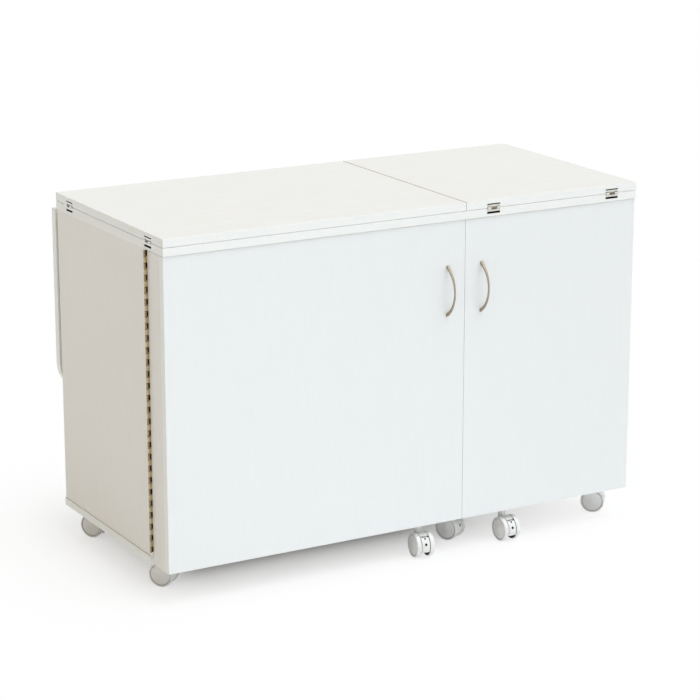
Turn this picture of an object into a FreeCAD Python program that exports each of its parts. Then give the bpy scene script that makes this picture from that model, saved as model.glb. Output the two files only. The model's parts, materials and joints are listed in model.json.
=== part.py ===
import FreeCAD, Part
import os
import re

import Sketcher

# A sewing cabinet on castors that folds out into a cutting table.
#
# Cabinet coordinates while modelling: x runs from the left end of the deck to the right,
# y from the front edge of the deck to the back, z up from the floor.  Every finished node
# is then shifted so that the origin lies on the floor under the middle of the whole part.

# ---------------------------------------------------------------- driving dimensions (mm)
SIZES = {
    # carcass and top
    "cabinet_width": 1160.0,
    "cabinet_depth": 536.0,
    "side_height": 661.0,
    "board": 18.0,
    "edge_round": 1.0,
    "side_inset": 2.0,
    "back_inset": 1.0,
    "base_setback": 92.0,
    "split_from_left": 716.0,
    "leaf_gap": 0.6,
    "leaf_split_gap": 1.0,
    "bay_shelf_setback": 110.0,
    "bay_shelf_low": 300.0,
    "bay_shelf_high": 520.0,
    # joinery
    "screw_radius": 3.5,
    "screw_head_radius": 5.0,
    "screw_head_height": 3.0,
    "screw_length": 48.0,
    "dowel_radius": 4.0,
    "dowel_length": 30.0,
    "dowel_in_deck": 12.0,
    "joint_front": 150.0,
    "joint_back": 100.0,
    # doors
    "door_recess": 3.0,
    "door_side_inset": 1.0,
    "door_split_gap": 0.8,
    "door_top_gap": 0.8,
    "door_lift": 4.0,
    "door_box_depth": 73.0,
    "door_shelf_board": 12.0,
    "door_shelf_setback": 6.0,
    # bow handles
    "handle_from_split_left": 44.0,
    "handle_from_split_right": 41.5,
    "handle_drop": 189.0,
    "handle_reach": 32.0,
    "handle_half_length": 57.0,
    "handle_inner_reach": 29.4,
    "handle_inner_half": 48.5,
    "handle_width": 7.0,
    "handle_waist": 4.0,
    "handle_screw_half_pitch": 51.0,
    "handle_screw_radius": 2.0,
    "handle_screw_bite": 5.0,
    "handle_screw_head_radius": 4.0,
    "handle_screw_head_height": 2.5,
    # long knuckle hinges of the doors
    "long_pin_out": 3.8,
    "long_knuckle_radius": 2.3,
    "long_pin_radius": 1.2,
    "long_knuckle_pitch": 12.7,
    "long_plate": 1.0,
    "long_plate_reach": 15.0,
    "knuckle_gap": 0.3,
    "pin_clearance": 0.08,
    # sunk hinges of the two leaves
    "leaf_pin_out": 0.4,
    "leaf_knuckle_radius": 2.6,
    "leaf_pin_radius": 1.2,
    "leaf_hinge_width": 32.0,
    "leaf_middle_knuckle": 14.0,
    "leaf_plate": 2.0,
    "leaf_plate_start": 3.5,
    "leaf_plate_height": 4.0,
    "leaf_tang": 1.5,
    "leaf_tang_depth": 7.0,
    "leaf_slot_depth": 8.0,
    "leaf_slot_above": 2.5,
    "leaf_slot_below": 4.5,
    "leaf_sink_clear": 0.6,
    "leaf_hinge_front": 70.5,
    "leaf_hinge_back": 72.0,
    "leaf_hinge_inner": 69.0,
    "leaf_hinge_outer": 66.0,
    # rear drop leaf and its hinges
    "rear_leaf_height": 423.0,
    "rear_corner_radius": 73.0,
    "rear_leaf_gap": 1.0,
    "rear_knuckle_radius": 3.3,
    "rear_pin_radius": 1.6,
    "rear_plate": 1.2,
    "rear_plate_height": 36.0,
    "rear_plate_start": 4.1,
    "rear_ear_bite": 0.4,
    "rear_knuckle_width": 14.0,
    "rear_hinge_inset": 170.0,
    # machine opening and lift
    "opening_length": 600.0,
    "opening_width": 310.0,
    "opening_front": 110.0,
    "opening_corner": 20.0,
    "platform_gap": 2.0,
    "platform_drop": 301.0,
    "rail_depth": 14.0,
    "rail_width": 40.0,
    "rail_wall": 2.0,
    "carriage_clear": 0.5,
    "carriage_height": 80.0,
    "bracket_plate": 4.0,
    "bracket_reach": 90.0,
    "bracket_width": 60.0,
    "strut_radius": 11.0,
    "strut_bore": 8.0,
    "strut_end": 6.0,
    "strut_guide": 10.0,
    "strut_top_gap": 28.0,
    "strut_offset": 20.0,
    "rod_radius": 4.0,
    "slide_clear": 0.3,
    "piston_height": 8.0,
    # castors
    "castor_height": 72.0,
    "wheel_radius": 27.5,
    "wheel_width": 10.8,
    "wheel_shoulder": 1.6,
    "wheel_rim": 4.0,
    "wheel_dish": 0.8,
    "wheel_gap": 0.3,
    "castor_trail": 18.0,
    "castor_web": 19.8,
    "castor_web_radius": 26.7,
    "castor_floor_gap": 9.0,
    "neck_radius": 8.5,
    "neck_start": 30.0,
    "neck_gap": 0.4,
    "collar_radius": 10.5,
    "collar_height": 2.0,
    "stem_radius": 4.0,
    "stem_in_neck": 23.0,
    "stem_in_board": 15.0,
    "axle_radius": 3.0,
    "axle_clearance": 0.1,
    "pedal_inner_radius": 21.5,
    "pedal_outer_radius": 26.7,
    "pedal_side_gap": 0.3,
    "pedal_arm": 6.0,
    "pedal_hub_radius": 7.0,
    "pedal_clear": 0.5,
    "castor_left": 68.0,
    "castor_right": 34.0,
    "castor_front": 108.0,
    "castor_front_left": 130.0,
    "castor_front_right": 104.0,
    "castor_right_front": 42.5,
    "castor_from_split": 17.0,
    "castor_back": 48.0,
    "door_castor_depth": 40.0,
    "left_door_castor": 91.0,
    "right_door_castor": 129.0,
}

# Places that follow from the sizes above.
PLACES = {
    "base_top": "castor_height + board",
    "deck_under": "base_top + side_height",
    "deck_top": "deck_under + board",
    "leaf_under": "deck_top + leaf_gap",
    "leaf_top": "leaf_under + board",
    "left_leaf_end": "split_from_left - leaf_split_gap / 2",
    "right_leaf_start": "split_from_left + leaf_split_gap / 2",
    "bay_left": "side_inset + board",
    "divider_left": "split_from_left - board / 2",
    "divider_right": "split_from_left + board / 2",
    "bay_right": "cabinet_width - side_inset - board",
    "back_face": "cabinet_depth - back_inset",
    "back_front": "back_face - board",
    "door_rear": "door_recess + door_box_depth",
    "door_bottom": "castor_height + door_lift",
    "door_top": "deck_under - door_top_gap",
    "door_inner": "door_recess + board",
    "long_pin_y": "door_rear + long_knuckle_radius",
    "carcass_front": "door_rear + 2 * long_knuckle_radius",
    "long_hinge_low": "door_top - long_hinge_length",
    "handle_middle": "leaf_top - handle_drop",
    "leaf_pin_z": "deck_top + leaf_gap / 2",
    "leaf_sink": "leaf_knuckle_radius + leaf_sink_clear",
    "leaf_plate_end": "leaf_plate_start + leaf_plate_height",
    "rear_pin_back": "rear_knuckle_radius + rear_plate",
    "rear_pin_y": "back_face + rear_pin_back",
    "rear_leaf_inner": "rear_pin_y + rear_pin_back",
    "rear_leaf_outer": "rear_leaf_inner + board",
    "rear_pin_z": "deck_top - board - rear_pin_back",
    "rear_leaf_top": "rear_pin_z + rear_pin_y - cabinet_depth - rear_leaf_gap",
    "bay_middle": "(bay_left + divider_left) / 2",
    "opening_left": "bay_middle - opening_length / 2",
    "lift_line": "opening_front + opening_width / 2",
    "platform_left": "opening_left + platform_gap",
    "platform_length": "opening_length - 2 * platform_gap",
    "platform_top": "deck_top - platform_drop",
    "platform_under": "platform_top - board",
    "bracket_under": "platform_under - bracket_plate",
    "strut_length": "bracket_under - strut_top_gap - base_top",
    "castor_top": "castor_height - collar_height",
    "neck_top": "castor_top - neck_gap",
    "stem_low": "neck_top - stem_in_neck",
    "wheel_inner": "castor_web / 2 + wheel_gap",
    "wheel_outer": "wheel_inner + wheel_width",
    "front_most": "door_recess - handle_reach",
    "middle_depth": "(front_most + rear_leaf_outer) / 2",
}

# How far each castor is turned about its stem at rest, in degrees; 0 trails to the front.
CASTORS = {
    "front_left": ("castor_left", "castor_front_left", -141.0),
    "front_middle": ("split_from_left + castor_from_split", "castor_front", 28.0),
    "front_right": ("cabinet_width - castor_right_front", "castor_front_right", 50.0),
    "rear_left": ("castor_left", "cabinet_depth - castor_back", -148.0),
    "rear_middle": ("split_from_left", "cabinet_depth - castor_back", 150.0),
    "rear_right": ("cabinet_width - castor_right", "cabinet_depth - castor_back", 165.0),
    "left_door": ("split_from_left - left_door_castor", "door_castor_depth", -6.0),
    "right_door": ("split_from_left + right_door_castor", "door_castor_depth", 1.5),
}
DOOR_CASTORS = ("left_door", "right_door")
DOOR_SHELVES = 3
JOINTS_PER_LINE = 3

doc = FreeCAD.newDocument("sewing_cabinet")
sheet = doc.addObject("Spreadsheet::Sheet", "Sizes")
for row, (alias, size) in enumerate(SIZES.items(), start=1):
    sheet.set("A%d" % row, alias)
    sheet.set("B%d" % row, str(size))
    sheet.setAlias("B%d" % row, alias)
doc.recompute()


# ---------------------------------------------------------------- expressions
def full(text):
    """Writes an expression out in cells of the sheet, with the places worked out."""
    def word(match):
        name = match.group(0)
        if name in PLACES:
            return "(" + full(PLACES[name]) + ")"
        return "Sizes." + name if name in SIZES else name
    return re.sub(r"[a-z_]+", word, str(text))


def number(text):
    return float(sheet.evalExpression(full(text)))


# A long hinge has as many pairs of knuckles as fit on its door, and one knuckle more, with
# a knuckle's length to spare.
KNUCKLE_PAIRS = int(number("(door_top - door_bottom) / (2 * long_knuckle_pitch) - 1"))
PLACES["long_hinge_length"] = "%d * long_knuckle_pitch" % (2 * KNUCKLE_PAIRS + 1)


def bind(thing, **properties):
    for name, text in properties.items():
        thing.setExpression(name, full(text))
    return thing


def put(thing, x, y, z):
    """Binds where a thing stands; its turn, if it has one, is already in its Placement."""
    for axis, text in (("x", x), ("y", y), ("z", z)):
        thing.setExpression("Placement.Base." + axis, full(text))
    return thing


def turned(axis):
    """The turn that lays a z-axis shape along the named axis."""
    turns = {"x": (FreeCAD.Vector(0, 1, 0), 90), "y": (FreeCAD.Vector(1, 0, 0), -90)}
    return FreeCAD.Rotation(*turns[axis]) if axis in turns else FreeCAD.Rotation()


# ---------------------------------------------------------------- Part primitives and booleans
def box(x, y, z, length, width, height):
    shape = doc.addObject("Part::Box", "block")
    bind(shape, Length=length, Width=width, Height=height)
    return put(shape, x, y, z)


def cylinder(x, y, z, radius, height, axis="z"):
    shape = doc.addObject("Part::Cylinder", "round")
    shape.Placement = FreeCAD.Placement(FreeCAD.Vector(), turned(axis))
    bind(shape, Radius=radius, Height=height)
    return put(shape, x, y, z)


def fuse(*pieces):
    joined = doc.addObject("Part::MultiFuse", "joined")
    joined.Shapes = list(pieces)
    return joined


def cut(base, *tools):
    for tool in tools:
        less = doc.addObject("Part::Cut", "less")
        less.Base = base
        less.Tool = tool
        base = less
    return base


def common(base, tool):
    both = doc.addObject("Part::Common", "both")
    both.Base = base
    both.Tool = tool
    return both


def group(*pieces):
    several = doc.addObject("Part::Compound", "several")
    several.Links = list(pieces)
    return several


# ---------------------------------------------------------------- PartDesign helpers
def origin_feature(body, role):
    return next(item for item in body.Origin.OriginFeatures if item.Role == role)


def block_body(x, y, z, length, width, height):
    """A board as a body; later pockets and bores cut it in cabinet coordinates."""
    body = doc.addObject("PartDesign::Body", "board")
    blank = body.newObject("PartDesign::AdditiveBox", "blank")
    bind(blank, Length=length, Width=width, Height=height)
    put(blank, x, y, z)
    return body


def round_edges(body, radius, keep=None):
    """Rounds the edges of the body so far; keep picks which, or all of them."""
    doc.recompute()
    base = body.Tip
    edges = enumerate(base.Shape.Edges, start=1)
    chosen = ["Edge%d" % index for index, edge in edges if keep is None or keep(edge)]
    rounded = body.newObject("PartDesign::Fillet", "rounded")
    rounded.Base = (base, chosen)
    bind(rounded, Radius=radius)
    return body


def pocket(body, x, y, z, length, width, height):
    hollow = body.newObject("PartDesign::SubtractiveBox", "pocket")
    bind(hollow, Length=length, Width=width, Height=height)
    put(hollow, x, y, z)


def bore(body, x, y, z, radius, depth, axis="z"):
    hole = body.newObject("PartDesign::SubtractiveCylinder", "bore")
    hole.Placement = FreeCAD.Placement(FreeCAD.Vector(), turned(axis))
    bind(hole, Radius=radius, Height=depth)
    put(hole, x, y, z)


def outline(body, plane, corners, offset="0"):
    """A closed sketch on an origin plane, with every corner bound to the sheet."""
    sketch = body.newObject("Sketcher::SketchObject", "outline")
    sketch.AttachmentSupport = [(origin_feature(body, plane), "")]
    sketch.MapMode = "FlatFace"
    sketch.setExpression("AttachmentOffset.Base.z", full(offset))
    points = [FreeCAD.Vector(number(across), number(up), 0) for across, up in corners]
    count = len(points)
    for index, point in enumerate(points):
        sketch.addGeometry(Part.LineSegment(point, points[(index + 1) % count]), False)
    for index in range(count):
        sketch.addConstraint(Sketcher.Constraint("Coincident", index, 2, (index + 1) % count, 1))
    for index, (across, up) in enumerate(corners):
        for kind, text in (("DistanceX", across), ("DistanceY", up)):
            rule = Sketcher.Constraint(kind, -1, 1, index, 1, number(text))
            place = sketch.addConstraint(rule)
            sketch.setExpression("Constraints[%d]" % place, full(text))
    return sketch


def pad(body, sketch, length):
    solid = body.newObject("PartDesign::Pad", "pad")
    solid.Profile = sketch
    bind(solid, Length=length)
    return body


# ---------------------------------------------------------------- finished nodes
NODES = {}


def node(label, piece):
    """Names a finished piece and shifts it so that the origin is under the part's middle."""
    piece.Label = label
    put(piece, "-cabinet_width / 2", "-middle_depth", "0")
    NODES[label] = piece
    return piece


# ---------------------------------------------------------------- castors
# Angles of the brake pedal and of its room in the housing, downwards from the front.
PEDAL_START = -50
PEDAL_SWEEP = 78
PEDAL_ARM_START = -28
PEDAL_ARM_SWEEP = 34
PEDAL_ROOM_START = -60
PEDAL_ROOM_SWEEP = 116


def castor_wheel():
    """One wheel, turned about the x axis, with its outer face on the positive side."""
    body = doc.addObject("PartDesign::Body", "wheel")
    shoulder = "wheel_radius - wheel_shoulder"
    rim = "wheel_radius - wheel_rim"
    profile = outline(body, "XZ_Plane", [
        ("wheel_inner", "axle_radius"),
        ("wheel_inner", shoulder),
        ("wheel_inner + wheel_shoulder", "wheel_radius"),
        ("wheel_outer - wheel_shoulder", "wheel_radius"),
        ("wheel_outer", shoulder),
        ("wheel_outer", rim),
        ("wheel_outer - wheel_dish", rim + " - wheel_dish"),
        ("wheel_outer - wheel_dish", "axle_radius"),
    ])
    solid = body.newObject("PartDesign::Revolution", "turned")
    solid.Profile = profile
    solid.ReferenceAxis = (profile, ["H_Axis"])
    solid.Angle = 360
    return put(body, "0", "-castor_trail", "wheel_radius")


def castor_wheels():
    left = castor_wheel()
    right = castor_wheel()
    left.Placement = FreeCAD.Placement(FreeCAD.Vector(), FreeCAD.Rotation(FreeCAD.Vector(0, 0, 1), 180))
    axle = cylinder("-wheel_outer + wheel_dish", "-castor_trail", "wheel_radius",
                    "axle_radius", "2 * (wheel_outer - wheel_dish)", "x")
    return group(left, right, axle)


def sector(radius, width, start, sweep):
    """A slice of a disc about the axle, its angles measured downwards from the front."""
    turn = FreeCAD.Rotation(FreeCAD.Vector(0, -1, 0), FreeCAD.Vector(0, 0, -1),
                            FreeCAD.Vector(1, 0, 0), "XYZ")
    piece = doc.addObject("Part::Cylinder", "sector")
    piece.Placement = FreeCAD.Placement(
        FreeCAD.Vector(), turn * FreeCAD.Rotation(FreeCAD.Vector(0, 0, 1), start))
    piece.Angle = sweep
    bind(piece, Radius=radius, Height=width)
    return put(piece, "-(%s) / 2" % width, "-castor_trail", "wheel_radius")


def castor_housing(braked):
    """The web between the wheels with the neck that turns on the stem."""
    web = cylinder("-castor_web / 2", "-castor_trail", "wheel_radius",
                   "castor_web_radius", "castor_web", "x")
    neck = cylinder("0", "0", "neck_start", "neck_radius", "neck_top - neck_start")
    body = cut(
        fuse(web, neck),
        box("-castor_web", "-castor_trail - wheel_radius", "0",
            "2 * castor_web", "2 * wheel_radius", "castor_floor_gap"),
        cylinder("-castor_web", "-castor_trail", "wheel_radius",
                 "axle_radius + axle_clearance", "2 * castor_web", "x"),
        cylinder("0", "0", "stem_low - neck_gap", "stem_radius + axle_clearance",
                 "stem_in_neck + 2 * neck_gap"))
    if not braked:
        return body
    room = cut(sector("wheel_radius", "2 * castor_web", PEDAL_ROOM_START, PEDAL_ROOM_SWEEP),
               sector("pedal_inner_radius - pedal_clear", "2 * castor_web", 0, 360))
    slot = sector("wheel_radius", "pedal_arm + 2 * pedal_clear", PEDAL_ROOM_START, PEDAL_ROOM_SWEEP)
    hub = sector("pedal_hub_radius + pedal_clear", "pedal_arm + 2 * pedal_clear", 0, 360)
    return cut(body, room, slot, hub)


def brake_pedal():
    """A curved tread on an arm that turns about the axle."""
    tread = cut(sector("pedal_outer_radius", "castor_web - 2 * pedal_side_gap",
                       PEDAL_START, PEDAL_SWEEP),
                sector("pedal_inner_radius", "castor_web", 0, 360))
    arm = sector("pedal_inner_radius + pedal_clear", "pedal_arm", PEDAL_ARM_START, PEDAL_ARM_SWEEP)
    hub = sector("pedal_hub_radius", "pedal_arm", 0, 360)
    return cut(fuse(tread, arm, hub),
               sector("axle_radius + axle_clearance", "castor_web", 0, 360))


def castor_stem(x, y, board_under):
    """The fixed pin of a castor, with the collar that bears on the board."""
    pin = cylinder(x, y, "stem_low", "stem_radius",
                   "(%s) + stem_in_board - stem_low" % board_under)
    collar = cylinder(x, y, "castor_top", "collar_radius", "(%s) - castor_top" % board_under)
    return fuse(pin, collar)


for name, (stem_x, stem_y, turn) in CASTORS.items():
    braked = name in DOOR_CASTORS
    pieces = {"castor_housing": castor_housing(braked), "castor_wheels": castor_wheels()}
    if braked:
        pieces["castor_pedal"] = brake_pedal()
    for kind, piece in pieces.items():
        piece.Placement = FreeCAD.Placement(
            FreeCAD.Vector(), FreeCAD.Rotation(FreeCAD.Vector(0, 0, 1), turn))
        NODES["%s_%s" % (name, kind)] = piece
        piece.Label = "%s_%s" % (name, kind)
        put(piece, "(%s) - cabinet_width / 2" % stem_x, "(%s) - middle_depth" % stem_y, "0")

carcass_castors = {name: place for name, place in CASTORS.items() if name not in DOOR_CASTORS}
node("carcass_castor_stems", group(*[
    castor_stem(stem_x, stem_y, "castor_height") for stem_x, stem_y, _ in carcass_castors.values()]))


# ---------------------------------------------------------------- carcass
# Lines of screws and dowels, over the side panels and the divider.
joint_lines = ["side_inset + board / 2", "split_from_left",
               "cabinet_width - side_inset - board / 2"]
joint_rows = ["joint_front + %d * (cabinet_depth - joint_front - joint_back) / %d"
              % (index, JOINTS_PER_LINE - 1) for index in range(JOINTS_PER_LINE)]
joint_points = [(line, row) for line in joint_lines for row in joint_rows]


def upright(label, line):
    """A standing board with its screw holes below and its dowel holes above."""
    depth = "back_front - carcass_front" if label == "divider" else "back_face - carcass_front"
    panel = block_body("(%s) - board / 2" % line, "carcass_front", "base_top",
                       "board", depth, "side_height")
    for joint_row in joint_rows:
        bore(panel, line, joint_row, "base_top", "screw_radius", "screw_length - board")
        bore(panel, line, joint_row, "deck_under + dowel_in_deck - dowel_length", "dowel_radius",
             "dowel_length - dowel_in_deck")
    return node(label, panel)


upright("side_left", joint_lines[0])
upright("divider", joint_lines[1])
upright("side_right", joint_lines[2])

# The back panel stands between the sides, behind the divider.
node("back_panel", block_body("bay_left", "back_front", "base_top",
                              "bay_right - bay_left", "board", "side_height"))

base = block_body("0", "base_setback", "castor_height",
                  "cabinet_width", "cabinet_depth - base_setback", "board")
round_edges(base, "edge_round")
for x, y in joint_points:
    bore(base, x, y, "castor_height", "screw_radius", "board")
    bore(base, x, y, "castor_height", "screw_head_radius", "screw_head_height")
for stem_x, stem_y, _ in carcass_castors.values():
    bore(base, stem_x, stem_y, "castor_height", "stem_radius", "stem_in_board")
node("base_board", base)

node("base_screws", group(*[
    fuse(cylinder(x, y, "castor_height", "screw_radius", "screw_length"),
         cylinder(x, y, "castor_height", "screw_head_radius", "screw_head_height"))
    for x, y in joint_points]))
node("deck_dowels", group(*[
    cylinder(x, y, "deck_under + dowel_in_deck - dowel_length", "dowel_radius", "dowel_length")
    for x, y in joint_points]))

node("bay_shelves", group(*[
    box("divider_right", "bay_shelf_setback", height, "bay_right - divider_right",
        "back_front - bay_shelf_setback", "board")
    for height in ("bay_shelf_low", "bay_shelf_high")]))


# ---------------------------------------------------------------- sunk leaf hinges
# Local frame of a leaf hinge: x goes into the board from its edge face, y runs along the
# pin, z is up, and the origin is on the edge face at the height of the pin.
LEFT_HINGES = [("0", "leaf_hinge_front"), ("0", "cabinet_depth - leaf_hinge_back")]
RIGHT_HINGES = [("split_from_left + leaf_hinge_inner", "0"),
                ("cabinet_width - leaf_hinge_outer", "0")]
side_knuckle = "(leaf_hinge_width - leaf_middle_knuckle) / 2 - knuckle_gap"


def place_leaf_hinge(piece, x, y, quarter_turn):
    piece.Placement = FreeCAD.Placement(
        FreeCAD.Vector(), FreeCAD.Rotation(FreeCAD.Vector(0, 0, 1), quarter_turn))
    return put(piece, x, y, "leaf_pin_z")


def knuckle(start, width, ear_low, ear_height):
    return [cylinder("-leaf_pin_out", start, "0", "leaf_knuckle_radius", width, "y"),
            box("0", start, ear_low, "leaf_plate", width, ear_height)]


def leaf_hinge_plate(low, tang_low):
    """The plate on the board's edge, with the tang that is bent into the board."""
    return [box("0", "-leaf_hinge_width / 2", low,
                "leaf_plate", "leaf_hinge_width", "leaf_plate_height"),
            box("0", "-leaf_hinge_width / 2", tang_low,
                "leaf_tang_depth", "leaf_hinge_width", "leaf_tang")]


def leaf_hinge_moving(x, y, quarter_turn):
    plate = leaf_hinge_plate("leaf_plate_start", "leaf_plate_end - leaf_tang")
    middle = knuckle("-leaf_middle_knuckle / 2", "leaf_middle_knuckle", "0",
                     "leaf_plate_start + leaf_plate")
    hole = cylinder("-leaf_pin_out", "-leaf_hinge_width / 2", "0",
                    "leaf_pin_radius + pin_clearance", "leaf_hinge_width", "y")
    return place_leaf_hinge(cut(fuse(*plate, *middle), hole), x, y, quarter_turn)


def leaf_hinge_fixed(x, y, quarter_turn):
    plate = leaf_hinge_plate("-leaf_plate_end", "-leaf_plate_end")
    ends = []
    for start in ("-leaf_hinge_width / 2", "leaf_middle_knuckle / 2 + knuckle_gap"):
        ends += knuckle(start, side_knuckle, "-leaf_plate_start - leaf_plate",
                        "leaf_plate_start + leaf_plate")
    hole = cylinder("-leaf_pin_out", "-leaf_hinge_width / 2", "0",
                    "leaf_pin_radius", "leaf_hinge_width", "y")
    return place_leaf_hinge(cut(fuse(*plate, *ends), hole), x, y, quarter_turn)


def leaf_hinge_pin(x, y, quarter_turn):
    pin = cylinder("-leaf_pin_out", "-leaf_hinge_width / 2", "0",
                   "leaf_pin_radius", "leaf_hinge_width", "y")
    return place_leaf_hinge(group(pin), x, y, quarter_turn)


def sink_leaf_hinge(body, x, y, along, above):
    """Cuts the room of a leaf hinge into a board's edge, above or below the pin."""
    half = "(leaf_hinge_width / 2 + knuckle_gap)"
    slot = "leaf_slot_above" if above else "leaf_slot_below"
    cuts = [("0", "leaf_plate_end", "leaf_plate"),
            ("0", "leaf_sink", "leaf_sink - leaf_pin_out"),
            ("leaf_plate_end - leaf_tang", "leaf_tang + " + slot, "leaf_slot_depth")]
    for start, tall, depth in cuts:
        low = "leaf_pin_z + " + start if above else "leaf_pin_z - (%s) - (%s)" % (start, tall)
        if along == "y":
            pocket(body, x, "(%s) - %s" % (y, half), low, depth, "2 * " + half, tall)
        else:
            pocket(body, "(%s) - %s" % (x, half), y, low, "2 * " + half, depth, tall)


def sink_all_hinges(body, above, left=True, right=True):
    for x, y in LEFT_HINGES if left else []:
        sink_leaf_hinge(body, x, y, "y", above)
    for x, y in RIGHT_HINGES if right else []:
        sink_leaf_hinge(body, x, y, "x", above)


for side, places, quarter_turn in (("left", LEFT_HINGES, 0), ("right", RIGHT_HINGES, 90)):
    node(side + "_leaf_hinges_fixed", group(
        *[leaf_hinge_fixed(x, y, quarter_turn) for x, y in places],
        *[leaf_hinge_pin(x, y, quarter_turn) for x, y in places]))
    node(side + "_leaf_hinges_moving", group(
        *[leaf_hinge_moving(x, y, quarter_turn) for x, y in places]))


# ---------------------------------------------------------------- deck and leaves
def is_upright_corner(edge):
    """Tells the four standing edges of the machine opening from the others."""
    start, end = edge.Vertexes[0].Point, edge.Vertexes[-1].Point
    inside = number("edge_round") < start.x < number("left_leaf_end") and start.y > number("edge_round")
    return inside and abs(start.z - end.z) > number("board") / 2 and start.y < number("back_front")


deck = block_body("0", "0", "deck_under", "cabinet_width", "cabinet_depth", "board")
round_edges(deck, "edge_round")
pocket(deck, "opening_left", "opening_front", "deck_under",
       "opening_length", "opening_width", "board")
round_edges(deck, "opening_corner", is_upright_corner)
sink_all_hinges(deck, above=False)
for x, y in joint_points:
    bore(deck, x, y, "deck_under", "dowel_radius", "dowel_in_deck")
node("deck", deck)

left_leaf = block_body("0", "0", "leaf_under", "left_leaf_end", "cabinet_depth", "board")
round_edges(left_leaf, "edge_round")
sink_all_hinges(left_leaf, above=True, right=False)
node("left_leaf", left_leaf)

right_leaf = block_body("right_leaf_start", "0", "leaf_under",
                        "cabinet_width - right_leaf_start", "cabinet_depth", "board")
round_edges(right_leaf, "edge_round")
sink_all_hinges(right_leaf, above=True, left=False)
node("right_leaf", right_leaf)


# ---------------------------------------------------------------- rear drop leaf
def is_lower_corner(edge):
    """Picks the two level edges through the thickness at the leaf's lower corners."""
    start, end = edge.Vertexes[0].Point, edge.Vertexes[-1].Point
    low = start.z < number("rear_leaf_top - rear_leaf_height / 2")
    return low and abs(start.y - end.y) > number("board") / 2


rear_leaf = block_body("0", "rear_leaf_inner", "rear_leaf_top - rear_leaf_height",
                       "cabinet_width", "board", "rear_leaf_height")
round_edges(rear_leaf, "rear_corner_radius", is_lower_corner)
round_edges(rear_leaf, "edge_round")
node("rear_leaf", rear_leaf)

REAR_HINGES = ["rear_hinge_inset", "cabinet_width / 2", "cabinet_width - rear_hinge_inset"]
REAR_KNUCKLES = 5


def rear_hinge_half(x, moving):
    """Plate, ears and knuckles of one side of a rear hinge, with the pin at its origin."""
    plate_face = "rear_knuckle_radius" if moving else "-rear_pin_back"
    ear_face = "rear_knuckle_radius - rear_ear_bite" if moving else "-rear_pin_back"
    half_width = "rear_knuckle_width * %d / 2" % REAR_KNUCKLES
    pieces = [box("-" + half_width, plate_face, "-rear_plate_start - rear_plate_height",
                  "2 * " + half_width, "rear_plate", "rear_plate_height")]
    for index in range(1 if moving else 0, REAR_KNUCKLES, 2):
        start = "%d * rear_knuckle_width - %s + knuckle_gap / 2" % (index, half_width)
        width = "rear_knuckle_width - knuckle_gap"
        pieces.append(cylinder(start, "0", "0", "rear_knuckle_radius", width, "x"))
        pieces.append(box(start, ear_face, "-rear_plate_start - rear_plate",
                          width, "rear_plate + rear_ear_bite", "rear_plate_start + rear_plate"))
    clearance = "pin_clearance" if moving else "0"
    hole = cylinder("-" + half_width, "0", "0", "rear_pin_radius + " + clearance,
                    "2 * " + half_width, "x")
    return put(cut(fuse(*pieces), hole), x, "rear_pin_y", "rear_pin_z")


def rear_hinge_pin(x):
    half_width = "rear_knuckle_width * %d / 2" % REAR_KNUCKLES
    return cylinder("(%s) - %s" % (x, half_width), "rear_pin_y", "rear_pin_z",
                    "rear_pin_radius", "2 * " + half_width, "x")


node("rear_leaf_hinges_fixed", group(*[rear_hinge_half(x, False) for x in REAR_HINGES],
                                     *[rear_hinge_pin(x) for x in REAR_HINGES]))
node("rear_leaf_hinges_moving", group(*[rear_hinge_half(x, True) for x in REAR_HINGES]))


# ---------------------------------------------------------------- doors
def from_end(side, distance, length="0"):
    """The x of something that starts a distance in from the left or right end of the deck."""
    if side == "left":
        return distance
    return "cabinet_width - (%s) - (%s)" % (distance, length)


DOOR_SPANS = {
    "left": ("door_side_inset", "split_from_left - door_split_gap / 2"),
    "right": ("split_from_left + door_split_gap / 2", "cabinet_width - door_side_inset"),
}
HANDLE_LINES = {"left": "split_from_left - handle_from_split_left",
                "right": "split_from_left + handle_from_split_right"}


def long_hinge_leaf(side, moving):
    """One leaf of a long hinge: plate, then its knuckles as a pattern, then the pin's bore."""
    body = doc.addObject("PartDesign::Body", "long_hinge")
    plate_low = "door_side_inset" if moving else "side_inset"
    plate_long = "long_plate_reach - (%s)" % plate_low
    plate_y = "door_rear" if moving else "carcass_front - long_plate"
    first = "long_knuckle_pitch" if moving else "0"
    count = KNUCKLE_PAIRS if moving else KNUCKLE_PAIRS + 1
    low = "long_hinge_low + %s + knuckle_gap / 2" % first
    tall = "long_knuckle_pitch - knuckle_gap"
    plate = body.newObject("PartDesign::AdditiveBox", "plate")
    bind(plate, Length=plate_long, Width="long_plate",
         Height="long_hinge_length")
    put(plate, from_end(side, plate_low, plate_long), plate_y, "long_hinge_low")
    ear = body.newObject("PartDesign::AdditiveBox", "ear")
    ear_long = "%s + long_pin_out + long_plate" % plate_low
    bind(ear, Length=ear_long, Width="long_plate", Height=tall)
    put(ear, from_end(side, "-long_pin_out", ear_long), plate_y, low)
    ring = body.newObject("PartDesign::AdditiveCylinder", "ring")
    bind(ring, Radius="long_knuckle_radius", Height=tall)
    put(ring, from_end(side, "-long_pin_out"), "long_pin_y", low)
    row = body.newObject("PartDesign::LinearPattern", "knuckles")
    row.Originals = [ear, ring]
    row.Direction = (origin_feature(body, "Z_Axis"), [""])
    bind(row, Length="2 * long_knuckle_pitch * %d" % (count - 1))
    row.Occurrences = count
    body.Tip = row
    clearance = "pin_clearance" if moving else "0"
    bore(body, from_end(side, "-long_pin_out"), "long_pin_y", "long_hinge_low",
         "long_pin_radius + " + clearance, "long_hinge_length")
    return body


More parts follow.
